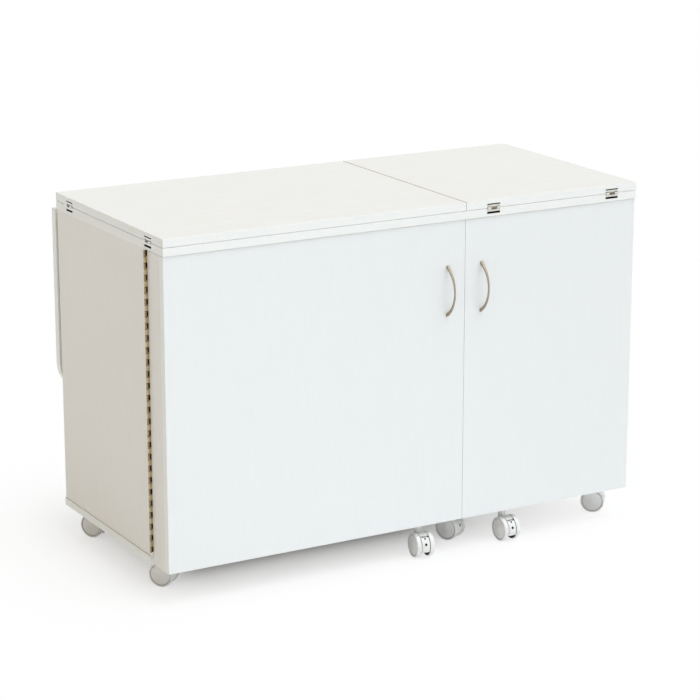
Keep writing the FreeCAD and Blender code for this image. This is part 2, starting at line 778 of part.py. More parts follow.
def bow_handle(side):
    """An arched band between two arcs, narrow at its crown, cut off at the door's face."""
    line = HANDLE_LINES[side]
    arcs = []
    for half, reach in (("handle_half_length", "handle_reach"),
                        ("handle_inner_half", "handle_inner_reach")):
        radius = "({0} * {0} + {1} * {1}) / (2 * {1})".format(half, reach)
        arcs.append(cylinder("(%s) - handle_width / 2" % line, "door_recess - %s + %s" % (reach, radius),
                             "handle_middle", radius, "handle_width", "x"))
    front = box("(%s) - handle_width" % line, "door_recess - 2 * handle_reach",
                "handle_middle - 2 * handle_half_length",
                "2 * handle_width", "2 * handle_reach", "4 * handle_half_length")
    flare = "((handle_width - handle_waist) / 2)"
    hollow = "(handle_half_length * handle_half_length + {0} * {0}) / (2 * {0})".format(flare)
    sides = [cylinder("(%s) %s (handle_waist / 2 + %s)" % (line, sign, hollow),
                      "door_recess - 2 * handle_reach", "handle_middle", hollow,
                      "3 * handle_reach", "y") for sign in "-+"]
    band = cut(common(arcs[0], front), arcs[1], *sides)
    screws = []
    for end in ("-handle_screw_half_pitch", "handle_screw_half_pitch"):
        height = "handle_middle + (%s)" % end
        hole = cylinder(line, "door_recess - handle_screw_bite", height,
                        "handle_screw_radius", "handle_screw_bite", "y")
        band = cut(band, hole)
        shank = cylinder(line, "door_recess - handle_screw_bite", height,
                         "handle_screw_radius", "handle_screw_bite + board", "y")
        head = cylinder(line, "door_inner", height, "handle_screw_head_radius",
                        "handle_screw_head_height", "y")
        screws.append(fuse(shank, head))
    return group(band, *screws)


def door(side):
    start, end = DOOR_SPANS[side]
    castor_x, castor_y, _ = CASTORS[side + "_door"]
    long_x = "(%s) - (%s)" % (end, start)
    tall = "door_top - door_bottom"
    deep = "door_box_depth - board"
    inner_long = long_x + " - 2 * board"
    inner_start = "(%s) + board" % start

    panel = block_body(start, "door_recess", "door_bottom", long_x, "board", tall)
    round_edges(panel, "edge_round")
    for end_sign in ("-", "+"):
        bore(panel, HANDLE_LINES[side], "door_recess",
             "handle_middle %s handle_screw_half_pitch" % end_sign,
             "handle_screw_radius", "board", "y")
    node(side + "_door_panel", panel)

    node(side + "_door_box_sides", group(
        box(start, "door_inner", "door_bottom", "board", deep, tall),
        box("(%s) - board" % end, "door_inner", "door_bottom", "board", deep, tall)))
    node(side + "_door_box_top", block_body(inner_start, "door_inner", "door_top - board",
                                            inner_long, deep, "board"))
    bottom = block_body(inner_start, "door_inner", "door_bottom", inner_long, deep, "board")
    bore(bottom, castor_x, castor_y, "door_bottom", "stem_radius", "stem_in_board")
    node(side + "_door_box_bottom", bottom)

    inside = "(%s - 2 * board - %d * door_shelf_board)" % (tall, DOOR_SHELVES)
    shelves = []
    for index in range(DOOR_SHELVES):
        height = "door_bottom + board + %d * %s / %d + %d * door_shelf_board" % (
            index + 1, inside, DOOR_SHELVES + 1, index)
        shelves.append(box(inner_start, "door_inner", height, inner_long,
                           deep + " - door_shelf_setback", "door_shelf_board"))
    node(side + "_door_shelves", group(*shelves))

    node(side + "_handle", bow_handle(side))
    node(side + "_door_castor_stem", castor_stem(castor_x, castor_y, "door_bottom"))

    node(side + "_long_hinge_moving", long_hinge_leaf(side, True))
    pin = cylinder(from_end(side, "-long_pin_out"), "long_pin_y", "long_hinge_low",
                   "long_pin_radius", "long_hinge_length")
    node(side + "_long_hinge_fixed", group(long_hinge_leaf(side, False), pin))


for side in ("left", "right"):
    door(side)


# ---------------------------------------------------------------- machine lift
def lift_rail(mirrored):
    """A channel that stands on the base and is open towards the middle of the bay."""
    body = doc.addObject("PartDesign::Body", "rail")

    def across(distance):
        return "divider_left - (%s)" % distance if mirrored else "bay_left + (%s)" % distance

    edge = "rail_width / 2"
    hollow = "rail_width / 2 - rail_wall"
    corners = [
        (across("0"), "lift_line - " + edge),
        (across("rail_depth"), "lift_line - " + edge),
        (across("rail_depth"), "lift_line - (%s)" % hollow),
        (across("rail_wall"), "lift_line - (%s)" % hollow),
        (across("rail_wall"), "lift_line + " + hollow),
        (across("rail_depth"), "lift_line + " + hollow),
        (across("rail_depth"), "lift_line + " + edge),
        (across("0"), "lift_line + " + edge),
    ]
    return pad(body, outline(body, "XY_Plane", corners, "base_top"), "side_height")


def lift_x(mirrored, distance, length="0"):
    """The x of something a distance in from the bay's left or right wall."""
    if mirrored:
        return "divider_left - (%s) - (%s)" % (distance, length)
    return "bay_left + (%s)" % distance


def lift_carriage(mirrored):
    """A slider in the rail, with the angle bracket that carries the platform."""
    slider_deep = "rail_depth - rail_wall"
    slider_wide = "rail_width - 2 * rail_wall - 2 * carriage_clear"
    slider = box(lift_x(mirrored, "rail_wall + carriage_clear", slider_deep),
                 "lift_line - (%s) / 2" % slider_wide, "platform_under - carriage_height",
                 slider_deep, slider_wide, "carriage_height")
    plate = box(lift_x(mirrored, "rail_depth + carriage_clear", "bracket_plate"),
                "lift_line - bracket_width / 2", "platform_under - carriage_height",
                "bracket_plate", "bracket_width", "carriage_height")
    arm = box(lift_x(mirrored, "rail_depth + carriage_clear", "bracket_reach"),
              "lift_line - bracket_width / 2", "bracket_under",
              "bracket_reach", "bracket_width", "bracket_plate")
    return fuse(slider, plate, arm)


def strut_line(mirrored):
    return lift_x(mirrored, "rail_depth + strut_offset")


def strut_tube(mirrored):
    x = strut_line(mirrored)
    return cut(cylinder(x, "lift_line", "base_top", "strut_radius", "strut_length"),
               cylinder(x, "lift_line", "base_top + strut_end", "strut_bore",
                        "strut_length - strut_end - strut_guide"),
               cylinder(x, "lift_line", "base_top + strut_end", "rod_radius + slide_clear",
                        "strut_length"))


def strut_rod(mirrored):
    x = strut_line(mirrored)
    low = "base_top + strut_end + slide_clear"
    return fuse(cylinder(x, "lift_line", low, "rod_radius", "bracket_under - (%s)" % low),
                cylinder(x, "lift_line", low, "strut_bore - slide_clear", "piston_height"))


node("lift_rails", group(lift_rail(False), lift_rail(True)))
node("lift_struts", group(strut_tube(False), strut_tube(True)))
node("lift_rods", group(strut_rod(False), strut_rod(True)))
node("lift_carriages", group(lift_carriage(False), lift_carriage(True)))


def is_platform_corner(edge):
    start, end = edge.Vertexes[0].Point, edge.Vertexes[-1].Point
    return abs(start.z - end.z) > number("board") / 2


platform = block_body("platform_left", "opening_front + platform_gap", "platform_under",
                      "platform_length", "opening_width - 2 * platform_gap", "board")
round_edges(platform, "opening_corner - platform_gap", is_platform_corner)
round_edges(platform, "edge_round")
node("lift_platform", platform)


# ---------------------------------------------------------------- check and write
doc.recompute()
for item in doc.Objects:
    faults = [state for state in item.State if state in ("Invalid", "Error")]
    if faults:
        raise RuntimeError("%s (%s) is %s" % (item.Name, item.Label, faults))
for label, piece in NODES.items():
    if piece.Shape.isNull() or not piece.Shape.isValid() or not piece.Shape.Solids:
        raise RuntimeError("%s has no valid solid" % label)

os.makedirs("parts", exist_ok=True)
for label, piece in NODES.items():
    piece.Shape.exportStep("parts/%s.step" % label)
    print("%-34s solids %2d  volume %12.1f" % (label, len(piece.Shape.Solids), piece.Shape.Volume))

whole = Part.makeCompound([piece.Shape for piece in NODES.values()]).BoundBox
print("%d nodes, %s" % (len(NODES), whole))
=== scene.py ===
# %% [markdown]
# # A sewing cabinet that folds out into a cutting table
#
# The construction model already has every board, hinge and castor where it belongs.  This
# lesson gives it its looks.  It keeps the boards, hinges and lift as they are and gives them
# real finishes, and it rebuilds the castors and the bow handles, whose soft moulded and cast
# shapes a construction model only hints at.
#
# The first step is always the same: load the fixed model.

# %% Load the fixed model
import json
import math

import bmesh
import bpy
from mathutils import Matrix, Vector


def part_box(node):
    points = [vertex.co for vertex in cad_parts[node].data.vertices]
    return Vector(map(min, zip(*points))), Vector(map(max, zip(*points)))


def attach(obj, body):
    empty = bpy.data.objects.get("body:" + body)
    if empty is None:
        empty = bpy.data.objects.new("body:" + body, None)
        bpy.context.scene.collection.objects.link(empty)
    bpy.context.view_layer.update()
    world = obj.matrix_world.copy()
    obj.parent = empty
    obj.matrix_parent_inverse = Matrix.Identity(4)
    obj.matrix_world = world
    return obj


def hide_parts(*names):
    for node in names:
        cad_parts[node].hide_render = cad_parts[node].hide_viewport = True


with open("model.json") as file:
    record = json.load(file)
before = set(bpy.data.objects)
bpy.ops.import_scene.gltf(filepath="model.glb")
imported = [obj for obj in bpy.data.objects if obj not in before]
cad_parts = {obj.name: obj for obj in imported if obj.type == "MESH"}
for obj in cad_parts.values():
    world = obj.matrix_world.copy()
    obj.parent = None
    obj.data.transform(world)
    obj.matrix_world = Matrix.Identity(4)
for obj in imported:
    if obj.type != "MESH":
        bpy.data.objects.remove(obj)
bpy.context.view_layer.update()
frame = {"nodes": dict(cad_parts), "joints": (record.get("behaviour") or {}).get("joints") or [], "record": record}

MM = 0.001
nodes = frame["nodes"]
joints = {joint["name"]: joint for joint in frame["joints"]}
slot_of_node = {row["node"]: row["material_slot"] for row in frame["record"]["subparts"]}

# %% [markdown]
# ## The camera
#
# A long lens from nearly six metres keeps the perspective mild, as a catalogue picture of
# furniture has it.  The camera stands to the left of the cabinet's front and looks slightly
# down, so that the top, the doors and the left side all show.  A camera at rest looks down
# its own -Z axis: tilting it up by 90 degrees makes it look along +Y, and from there we turn
# it by its heading and lower it by its pitch.

# %% Camera
CAMERA_PLACE = (-2.669, -4.683, 1.893)
CAMERA_HEADING = 29.70
CAMERA_PITCH = 15.31
CAMERA_LENS = 128.8

camera = bpy.data.objects.new("camera", bpy.data.cameras.new("camera"))
camera.location = CAMERA_PLACE
camera.rotation_euler = (math.radians(90 - CAMERA_PITCH), 0, -math.radians(CAMERA_HEADING))
camera.data.lens = CAMERA_LENS
camera.data.sensor_width = 36
bpy.context.scene.collection.objects.link(camera)
bpy.context.scene.camera = camera
print("camera", round(Vector(CAMERA_PLACE).length, 2), "m from the cabinet")

# %% [markdown]
# ## Two small tools for node trees
#
# Every finish below is a tree of nodes.  `add` makes one node, sets its properties and fills
# its sockets: a socket is given either a plain value or another node's output, which is then
# linked.  The same function serves shaders and Geometry Nodes.  `colour` turns the familiar
# hex code of a colour into the linear numbers that a renderer works with.

# %% Node and colour helpers
def add(tree, kind, sockets=None, **settings):
    """Adds a node, with its properties from settings and its inputs from sockets."""
    node = tree.nodes.new(kind)
    for name, value in settings.items():
        setattr(node, name, value)
    for key, value in (sockets or {}).items():
        if isinstance(value, bpy.types.NodeSocket):
            tree.links.new(value, node.inputs[key])
        else:
            node.inputs[key].default_value = value
    return node


def colour(code):
    """The linear colour of an sRGB hex code."""
    parts = [int(code[at:at + 2], 16) / 255 for at in (1, 3, 5)]
    return (*[part / 12.92 if part <= 0.04045 else ((part + 0.055) / 1.055) ** 2.4
              for part in parts], 1.0)


print("#808080 in linear light is", round(colour("#808080")[0], 3))

# %% [markdown]
# ## A finish with a pattern
#
# Nearly every finish here is one idea with other numbers: a noise pattern, stretched in the
# direction in which the surface was rolled, brushed or grown, that moves the colour and the
# gloss a little and roughens the surface.  The pattern lies in Object coordinates, which are
# metres on this model, so its scale can be given as the real size of one streak or grain.

# %% The shared recipe
RELIEF_DEPTH = 0.3 * MM
NOISE_LOW, NOISE_HIGH = 0.2, 0.8     # nearly all values of a noise lie between these


def patterned(name, light, dark, streak, gloss, bump, metallic=0.0, ior=1.5, contrast=0.18,
              detail=3.0):
    """A material whose colour and roughness follow a noise of the given streak size in mm."""
    material = bpy.data.materials.new(name)
    material.use_nodes = True
    tree = material.node_tree
    tree.nodes.clear()
    place = add(tree, "ShaderNodeTexCoord")
    scaled = add(tree, "ShaderNodeMapping", {
        "Vector": place.outputs["Object"], "Scale": [1 / (size * MM) for size in streak]})
    noise = add(tree, "ShaderNodeTexNoise", {
        "Vector": scaled.outputs["Vector"], "Scale": 1.0, "Detail": detail, "Roughness": 0.6})
    level = add(tree, "ShaderNodeMapRange", {
        "Value": noise.outputs["Fac"], "From Min": 0.5 - contrast, "From Max": 0.5 + contrast})
    tint = add(tree, "ShaderNodeMix", {
        0: level.outputs["Result"], 6: colour(light), 7: colour(dark)}, data_type="RGBA")
    shine = add(tree, "ShaderNodeMapRange", {
        "Value": noise.outputs["Fac"], "From Min": NOISE_LOW, "From Max": NOISE_HIGH,
        "To Min": gloss[0], "To Max": gloss[1]})
    relief = add(tree, "ShaderNodeBump", {
        "Height": noise.outputs["Fac"], "Strength": bump, "Distance": RELIEF_DEPTH})
    surface = add(tree, "ShaderNodeBsdfPrincipled", {
        "Base Color": tint.outputs[2], "Roughness": shine.outputs["Result"],
        "Normal": relief.outputs["Normal"], "Metallic": metallic, "IOR": ior})
    add(tree, "ShaderNodeOutputMaterial", {"Surface": surface.outputs["BSDF"]})
    return material


# %% [markdown]
# ## Board finishes
#
# The cabinet is made of particle board faced with melamine, a printed paper soaked in resin
# and pressed on with a fine woodgrain.  It is dull, slightly warm white, and its grain runs
# upwards on standing boards and along the cabinet on lying ones.  The real grain lines are
# about half a millimetre apart; they are drawn some four times coarser here, because finer
# ones would vanish at this distance.  The doors are of a slightly cooler white with a fainter
# grain.  The narrow faces carry ABS edging, an extruded strip that is smoother, a touch
# brighter and without grain.  Where a board is routed or bored, its core of pressed chips
# shows.

# %% Melamine, edging and core
MELAMINE_LIGHT, MELAMINE_DARK = "#EFEEEB", "#EBE9E5"
upright_melamine = patterned("melamine_faced_board_upright", MELAMINE_LIGHT, MELAMINE_DARK,
                             (1.8, 1.8, 70), (0.42, 0.56), 0.14)
lying_melamine = patterned("melamine_faced_board_lying", MELAMINE_LIGHT, MELAMINE_DARK,
                           (70, 1.8, 1.8), (0.42, 0.56), 0.06)
door_melamine = patterned("melamine_faced_board_door", "#ECEFF1", "#EAEDEF",
                          (1.8, 1.8, 70), (0.42, 0.56), 0.05)
abs_edging = patterned("extruded_abs_edging", "#F2F4F3", "#EFF1F0",
                       (5, 5, 5), (0.34, 0.42), 0.04)
glue_line = patterned("brown_glue_line_of_edging", "#AFA08A", "#9C8A72",
                      (6, 6, 6), (0.5, 0.65), 0.1)
chip_core = patterned("bored_particle_board_core", "#8A7253", "#4A3A28",
                      (2.2, 2.2, 1.2), (0.8, 0.95), 0.5, contrast=0.14)
# The routed slots of the drop leaf's hinges get a near-black core, painted as the deep shade inside them.
slot_core_painted_shade = patterned("routed_slot_core_painted_shade", "#33231A", "#150D08",
                      (2.2, 2.2, 1.2), (0.8, 0.95), 0.4, contrast=0.14)
print("board finishes:", upright_melamine.name, lying_melamine.name, abs_edging.name)

# %% [markdown]
# ## Castor, metal and wood finishes
#
# The castors are moulded nylon, a hard, slightly greasy white plastic with a soft sheen and
# almost no pattern.  The metals keep the default index of refraction and take their tone
# from their base colour: bright nickel on the leaf hinges, zinc on screws, and brass plating
# that has gone brown on the long door hinges.  The handles are cast zinc, plated with nickel
# and brushed along their bow, which leaves them satin and a little bronze.

# %% Castor, metal and wood materials
nylon = patterned("moulded_white_nylon", "#EEEEED", "#E9EAEA", (9, 9, 9), (0.30, 0.40), 0.05)
# The discs are painted a touch lighter than the tread, as light where the cabinet shades them.
nylon_disc_painted_lighter = patterned("moulded_nylon_disc_painted_lighter", "#F0F0F1", "#EBECED", (9, 9, 9),
                       (0.34, 0.44), 0.05)
# The snap groove is painted grey as its shade.  The near-black finish below is painted shade on the wheels' inner
# sides and in the shoe's hollow, and it also colours the pins.
groove_painted_shade = patterned("painted_shade_in_snap_groove", "#B0B2B3", "#9A9D9E", (4, 4, 4), (0.5, 0.7), 0.1)
castor_painted_shade_and_pins = patterned("painted_shade_between_castor_wheels_and_pins", "#1C1A19", "#0E0D0C", (3, 3, 3),
                         (0.6, 0.8), 0.1)
satin_nickel = patterned("brushed_satin_nickel", "#B8AC9A", "#938873", (1.2, 1.2, 26),
                         (0.42, 0.56), 0.10, metallic=1.0)
tarnished_brass = patterned("tarnished_brass_plated_steel", "#CDBC9C", "#A8956F", (5, 5, 9),
                            (0.34, 0.52), 0.12, metallic=1.0)
# Two darker copies of the brass are painted shade: one for the cabinet's half of the long hinges, and a brown one
# where their leaves face each other.
brass_painted_darker_as_shade = patterned("brass_plated_steel_painted_darker_as_shade", "#AE9973", "#836D49", (5, 5, 9),
                       (0.4, 0.6), 0.12, metallic=1.0)
brass_painted_brown_as_shade = patterned("brass_between_leaves_painted_brown_as_shade", "#4C3D2A", "#2C2115", (5, 5, 9),
                          (0.5, 0.7), 0.12, metallic=1.0)
bright_nickel = patterned("nickel_plated_steel", "#E6E5E0", "#CFCDC6", (7, 7, 1.6),
                          (0.24, 0.36), 0.08, metallic=1.0)
darker_nickel = patterned("darker_nickel_knuckle", "#918D7C", "#66614F", (2, 2, 2),
                        (0.35, 0.5), 0.12, metallic=1.0)
zinc_steel = patterned("zinc_plated_steel", "#C3C6CA", "#A4A9AE", (4, 4, 4), (0.26, 0.42),
                       0.08, metallic=1.0)
chromed_steel = patterned("chromed_rod_steel", "#DCDEDF", "#CED0D2", (3, 3, 12),
                          (0.06, 0.12), 0.02, metallic=1.0)
grey_powder = patterned("grey_powder_coated_steel", "#A9ACAE", "#9A9DA0", (1.4, 1.4, 1.4),
                        (0.45, 0.6), 0.35)
black_powder = patterned("black_powder_coated_steel", "#2C2D2E", "#202122", (1.4, 1.4, 1.4),
                         (0.45, 0.6), 0.35)
beech = patterned("turned_beech", "#C99F6C", "#AD7F4E", (1.6, 1.6, 30), (0.45, 0.6), 0.2)

FINISH_OF_SLOT = {
    "white_melamine": lying_melamine, "white_nylon": nylon, "zinc_steel": zinc_steel,
    "brass_plated_hinge": tarnished_brass, "nickel_hinge": bright_nickel,
    "satin_nickel": satin_nickel, "beech": beech, "grey_coated_steel": grey_powder,
    "black_coated_steel": black_powder, "chromed_rod": chromed_steel,
}
print("finishes for slots:", sorted(FINISH_OF_SLOT))

# %% [markdown]
# ## Dressing the boards face by face
#
# A board has three surfaces: its two broad faces, its edged narrow faces, and what a cutter
# has opened.  Each face tells which it is by where it points and where it lies.  A face that
# points through the board's thickness is broad.  Any other face near the board's outline, or
# near the outline of the machine opening, is edging, and the rest is bare core.  Only the
# face's material number changes; the mesh stays as it came.

# %% Dress the boards
EDGE_DEPTH = 1.6 * MM
FACE_NEAR = 0.1 * MM
SQUARE, LEANING = 0.98, 0.02         # part of a face's normal that lies along an axis
BROAD, EDGE, CORE = range(3)


def dress_board(name, thin, broad, openings=(), core=chip_core):
    """Gives a board's faces melamine, edging or core; thin is the axis of its thickness."""
    board = nodes[name]
    board.data.materials.clear()
    for finish in (broad, abs_edging, core):
        board.data.materials.append(finish)
    low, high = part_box(name)
    across = [axis for axis in range(3) if axis != thin]
    counts = [0, 0, 0]
    for face in board.data.polygons:
        flat = abs(face.normal[thin]) > SQUARE
        middle = face.center
        at_face = min(abs(middle[thin] - low[thin]), abs(middle[thin] - high[thin])) < FACE_NEAR
        rim = any(min(middle[axis] - low[axis], high[axis] - middle[axis]) < EDGE_DEPTH
                  for axis in across)
        cut_out = any(all(start[axis] - EDGE_DEPTH < middle[axis] < end[axis] + EDGE_DEPTH
                          for axis in across) for start, end in openings)
        kind = BROAD if flat and at_face else EDGE if (rim or cut_out) and not flat else CORE
        if not flat and not rim and abs(face.normal[thin]) > LEANING and not openings:
            kind = EDGE
        face.material_index = kind
        counts[kind] += 1
    return counts


platform_low, platform_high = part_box("lift_platform")
GROW = 4 * MM
machine_opening = (platform_low - Vector((GROW, GROW, GROW)),
                   platform_high + Vector((GROW, GROW, GROW)))
LYING = ["base_board", "lift_platform"]
LYING += [side + part for side in ("left_", "right_")
          for part in ("door_box_top", "door_box_bottom")]
for name in LYING:
    print(name, dress_board(name, 2, lying_melamine))
for name in ("left_leaf", "right_leaf"):
    print(name, dress_board(name, 2, lying_melamine, core=slot_core_painted_shade))
print("deck", dress_board("deck", 2, lying_melamine, [machine_opening], slot_core_painted_shade))
for name in ("side_left", "side_right", "divider"):
    print(name, dress_board(name, 0, upright_melamine))
print("back_panel", dress_board("back_panel", 1, upright_melamine))
for name in ("left_door_panel", "right_door_panel"):
    print(name, dress_board(name, 1, door_melamine))

# %% [markdown]
# Where edging is glued on, the joint shows as a thin brown line once the corner has been
# scraped round.  It is seen where the two leaves meet, and along the ends of the base board.
# Those are the small slanting faces between top and edge, on the given side of the board.

# %% Glue lines
SLANTING = 0.15


def draw_glue_line(name, axis, side):
    """Browns the rounded upper corner of a board at its low (0) or high (1) end of an axis."""
    board = nodes[name]
    board.data.materials.append(glue_line)
    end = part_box(name)[side][axis]
    count = 0
    for face in board.data.polygons:
        slanting = SLANTING < face.normal.z < SQUARE and abs(face.normal[axis]) > SLANTING
        if slanting and abs(face.center[axis] - end) < EDGE_DEPTH:
            face.material_index = len(board.data.materials) - 1
            count += 1
    return count


print("glue line faces:", draw_glue_line("left_leaf", 0, 1), draw_glue_line("right_leaf", 0, 0),
      draw_glue_line("base_board", 0, 0), draw_glue_line("base_board", 0, 1))

# %% [markdown]
# Some nodes hold several boards at once, and the drop leaf has large round corners, so the
# distance to the outline says nothing there.  Their direction is enough: nothing is cut
# into them, so every face that isn't broad is edging.

# %% Boards without cuts
def dress_plain_board(name, thin, broad):
    """Gives every board of a node melamine on its broad faces and edging on the others."""
    board = nodes[name]
    board.data.materials.clear()
    for finish in (broad, abs_edging):
        board.data.materials.append(finish)
    for face in board.data.polygons:
        face.material_index = BROAD if abs(face.normal[thin]) > SQUARE else EDGE


dress_plain_board("rear_leaf", 1, lying_melamine)
dress_plain_board("bay_shelves", 2, lying_melamine)
for side in ("left", "right"):
    dress_plain_board(side + "_door_shelves", 2, lying_melamine)
    dress_plain_board(side + "_door_box_sides", 0, upright_melamine)

board_names = [name for name, slot in slot_of_node.items() if slot == "white_melamine"]
for name, node in nodes.items():
    if name not in board_names:
        node.data.materials.clear()
        node.data.materials.append(FINISH_OF_SLOT[slot_of_node[name]])
print(len(board_names), "board nodes dressed,", len(nodes) - len(board_names), "others")

# %% [markdown]
# The middle knuckle of each small leaf hinge is given a darker nickel than the rest.  Faces
# within the barrel's radius of the pin get that finish.

# %% Hinge barrels
BARREL_RADIUS = 2.9 * MM
for side, across in (("left", 0), ("right", 1)):
    pin = Vector(joints[side + "_leaf_hinge"]["pos_m"])
    hinge = nodes[side + "_leaf_hinges_moving"]
    hinge.data.materials.append(darker_nickel)
    for face in hinge.data.polygons:
        away = math.hypot(face.center[across] - pin[across], face.center.z - pin.z)
        face.material_index = int(away < BARREL_RADIUS)
    darker_faces = sum(face.material_index for face in hinge.data.polygons)
    print(side, "hinge barrels:", darker_faces, "faces")

# %% [markdown]
# The long hinges are alike: the cabinet's half of each is painted a darker brass than the
# door's half, as its shade, and the leaves that face each other between door and cabinet
# are painted brown, as the deep shade between them.
#
# Each knuckle is half an inch long, and the joints between knuckles show as fine dark lines.
# They are drawn in the brass itself: along the hinge, a Ping-Pong node gives the distance to
# the nearest joint, and where that is small the brass turns dark.

# %% Hinge leaves
KNUCKLE = 12.7 * MM
JOINT_HALF_WIDTH = 0.6 * MM
JOINT_BROWN = "#3A2E1E"
LEAF_THICKNESS = 1.0 * MM
LEAF_NEAR = 0.05 * MM


def draw_joints(material, start):
    """Darkens a fine line at every knuckle joint, counted upwards from start."""
    tree = material.node_tree
    surface = next(node for node in tree.nodes if node.type == "BSDF_PRINCIPLED")
    tint = surface.inputs["Base Color"].links[0].from_socket
    place = add(tree, "ShaderNodeTexCoord")
    parts = add(tree, "ShaderNodeSeparateXYZ", {"Vector": place.outputs["Object"]})
    height = add(tree, "ShaderNodeMath", {0: parts.outputs["Z"], 1: start}, operation="SUBTRACT")
    away = add(tree, "ShaderNodeMath", {0: height.outputs[0], 1: KNUCKLE / 2},
               operation="PINGPONG")
    line = add(tree, "ShaderNodeMath", {0: away.outputs[0], 1: JOINT_HALF_WIDTH},
               operation="LESS_THAN")
    lined = add(tree, "ShaderNodeMix", {0: line.outputs[0], 6: tint, 7: colour(JOINT_BROWN)},
                data_type="RGBA")
    tree.links.new(lined.outputs[2], surface.inputs["Base Color"])


for brass in (tarnished_brass, brass_painted_darker_as_shade):
    draw_joints(brass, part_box("left_long_hinge_fixed")[0].z)
for side in ("left", "right"):
    for half, facing in (("moving", 1), ("fixed", -1)):
        hinge = nodes["%s_long_hinge_%s" % (side, half)]
        low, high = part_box(hinge.name)
        leaf_face = low.y + LEAF_THICKNESS if half == "moving" else high.y - LEAF_THICKNESS
        # The cabinet's half takes the darker brass painted as shade, and the faces between the leaves take the
        # brown painted shade.
        if half == "fixed":
            hinge.data.materials[0] = brass_painted_darker_as_shade
        hinge.data.materials.append(brass_painted_brown_as_shade)
        for face in hinge.data.polygons:
            between = abs(face.center.y - leaf_face) < LEAF_NEAR
            face.material_index = int(between and face.normal.y * facing > SQUARE)
        print(hinge.name, round((high.z - low.z) / MM, 1), "mm long")

# %% [markdown]
# ## Making pieces from points
#
# Turned and lofted shapes are rings of points joined by faces.  `skin` joins rings of equal
# length, closes the ends with a pole or a cap, and turns the faces outwards.  A finished
# piece is then given its name, its body and its finishes in one place, so that no piece is
# forgotten.

# %% Mesh helpers
def skin(rings, mesh_name):
    """A closed mesh through rings of points; a ring of one point is a pole."""
    shape = bmesh.new()
    rows = [[shape.verts.new(point) for point in ring] for ring in rings]
    for row, following in zip(rows, rows[1:]):
        count = max(len(row), len(following))
        for index in range(count):
            after = (index + 1) % count
            corners = [row[index % len(row)], row[after % len(row)],
                       following[after % len(following)], following[index % len(following)]]
            unique = list(dict.fromkeys(corners))
            if len(unique) > 2:
                shape.faces.new(unique)
    for end in (rows[0], rows[-1]):
        if len(end) > 2:
            shape.faces.new(end)
    bmesh.ops.recalc_face_normals(shape, faces=shape.faces)
    mesh = bpy.data.meshes.new(mesh_name)
    shape.to_mesh(mesh)
    shape.free()
    return mesh


def turned(profile, steps, mesh_name):
    """A shape turned about the x axis from (x, radius) points in millimetres."""
    rings = []
    for along, radius in profile:
        if radius == 0:
            rings.append([Vector((along, 0, 0)) * MM])
            continue
        angles = [2 * math.pi * step / steps for step in range(steps)]
        rings.append([Vector((along, radius * math.cos(angle), radius * math.sin(angle))) * MM
                      for angle in angles])
    return skin(rings, mesh_name)


def rod(half_length, radius, steps=32):
    """A plain cylinder about the x axis, for use as a drill or a hub."""
    return turned([(-half_length, 0), (-half_length, radius), (half_length, radius),
                   (half_length, 0)], steps, "rod")


def finish_piece(name, mesh, body, finishes=(), replaces=(), sharp=35):
    """Puts a mesh into the scene as a piece that rides on a body."""
    mesh.name = name
    for finish in finishes:
        mesh.materials.append(finish)
    mesh.shade_smooth()
    mesh.set_sharp_from_angle(angle=math.radians(sharp))
    piece = bpy.data.objects.new(name, mesh)
    bpy.context.scene.collection.objects.link(piece)
    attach(piece, body)
    if replaces:
        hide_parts(*replaces)
    return piece


def combine(base, tool, operation):
    """Joins or cuts two meshes with a Boolean modifier and returns the result."""
    holders = [bpy.data.objects.new("holder", mesh) for mesh in (base, tool)]
    for holder in holders:
        bpy.context.scene.collection.objects.link(holder)
    change = holders[0].modifiers.new("change", "BOOLEAN")
    change.object = holders[1]
    change.operation = operation
    change.solver = "EXACT"
    evaluated = holders[0].evaluated_get(bpy.context.evaluated_depsgraph_get())
    result = bpy.data.meshes.new_from_object(evaluated)
    for holder in holders:
        bpy.data.objects.remove(holder)
    return result


def slab(low, high, mesh_name="slab"):
    """A box between two corners in millimetres, for use as a cutting tool."""
    (x0, y0, z0), (x1, y1, z1) = low, high
    rings = [[Vector(point) * MM for point in
              ((x0, y0, z), (x1, y0, z), (x1, y1, z), (x0, y1, z))] for z in (z0, z1)]
    return skin(rings, mesh_name)


# %% [markdown]
# ## Castor wheels
#
# Each castor has two moulded wheels on one axle.  A wheel has a rounded tread, a raised rim,
# a fine ring where the disc is snapped in, and a flat disc with a small hub cap.  All of
# that is one profile turned about the axle.  The profile is written for the right wheel and
# mirrored for the left, so both wheels and the axle are a single closed turned shape.  The
# ring is painted grey as its shade, the sides that face the housing are painted near black
# as the shade between wheel and housing, and the discs are painted a touch lighter than the
# tread as light where the cabinet shades them.

# %% Castor wheels
WHEEL_STEPS = 72
WHEEL_RADIUS = 27.5
WHEEL_INNER = 10.2
right_profile = [(WHEEL_INNER, 3.0), (WHEEL_INNER, 25.3), (10.5, 26.3), (11.2, 27.1),
                 (12.3, 27.45), (13.6, WHEEL_RADIUS), (17.2, WHEEL_RADIUS), (18.8, 27.4),
                 (20.0, 26.9), (20.8, 26.1), (21.0, 25.3), (21.0, 24.4), (20.75, 24.0),
                 (20.1, 23.8), (19.3, 23.65), (19.3, 22.75), (20.15, 22.5), (20.3, 22.2),
                 (20.35, 12.0), (20.45, 6.4), (20.75, 5.9), (20.85, 4.5), (20.9, 0)]
SIDE_START, GROOVE_END = 19, 20.4     # from the middle of the axle, in millimetres
GROOVE = (22.4, 23.9)
DISC_RADIUS = 22.6
TREAD, DISC, RING, INSIDE = range(4)
CASTORS = ["front_left", "front_middle", "front_right", "rear_left", "rear_middle",
           "rear_right", "left_door", "right_door"]
wheel_profile = [(-along, radius) for along, radius in reversed(right_profile)] + right_profile


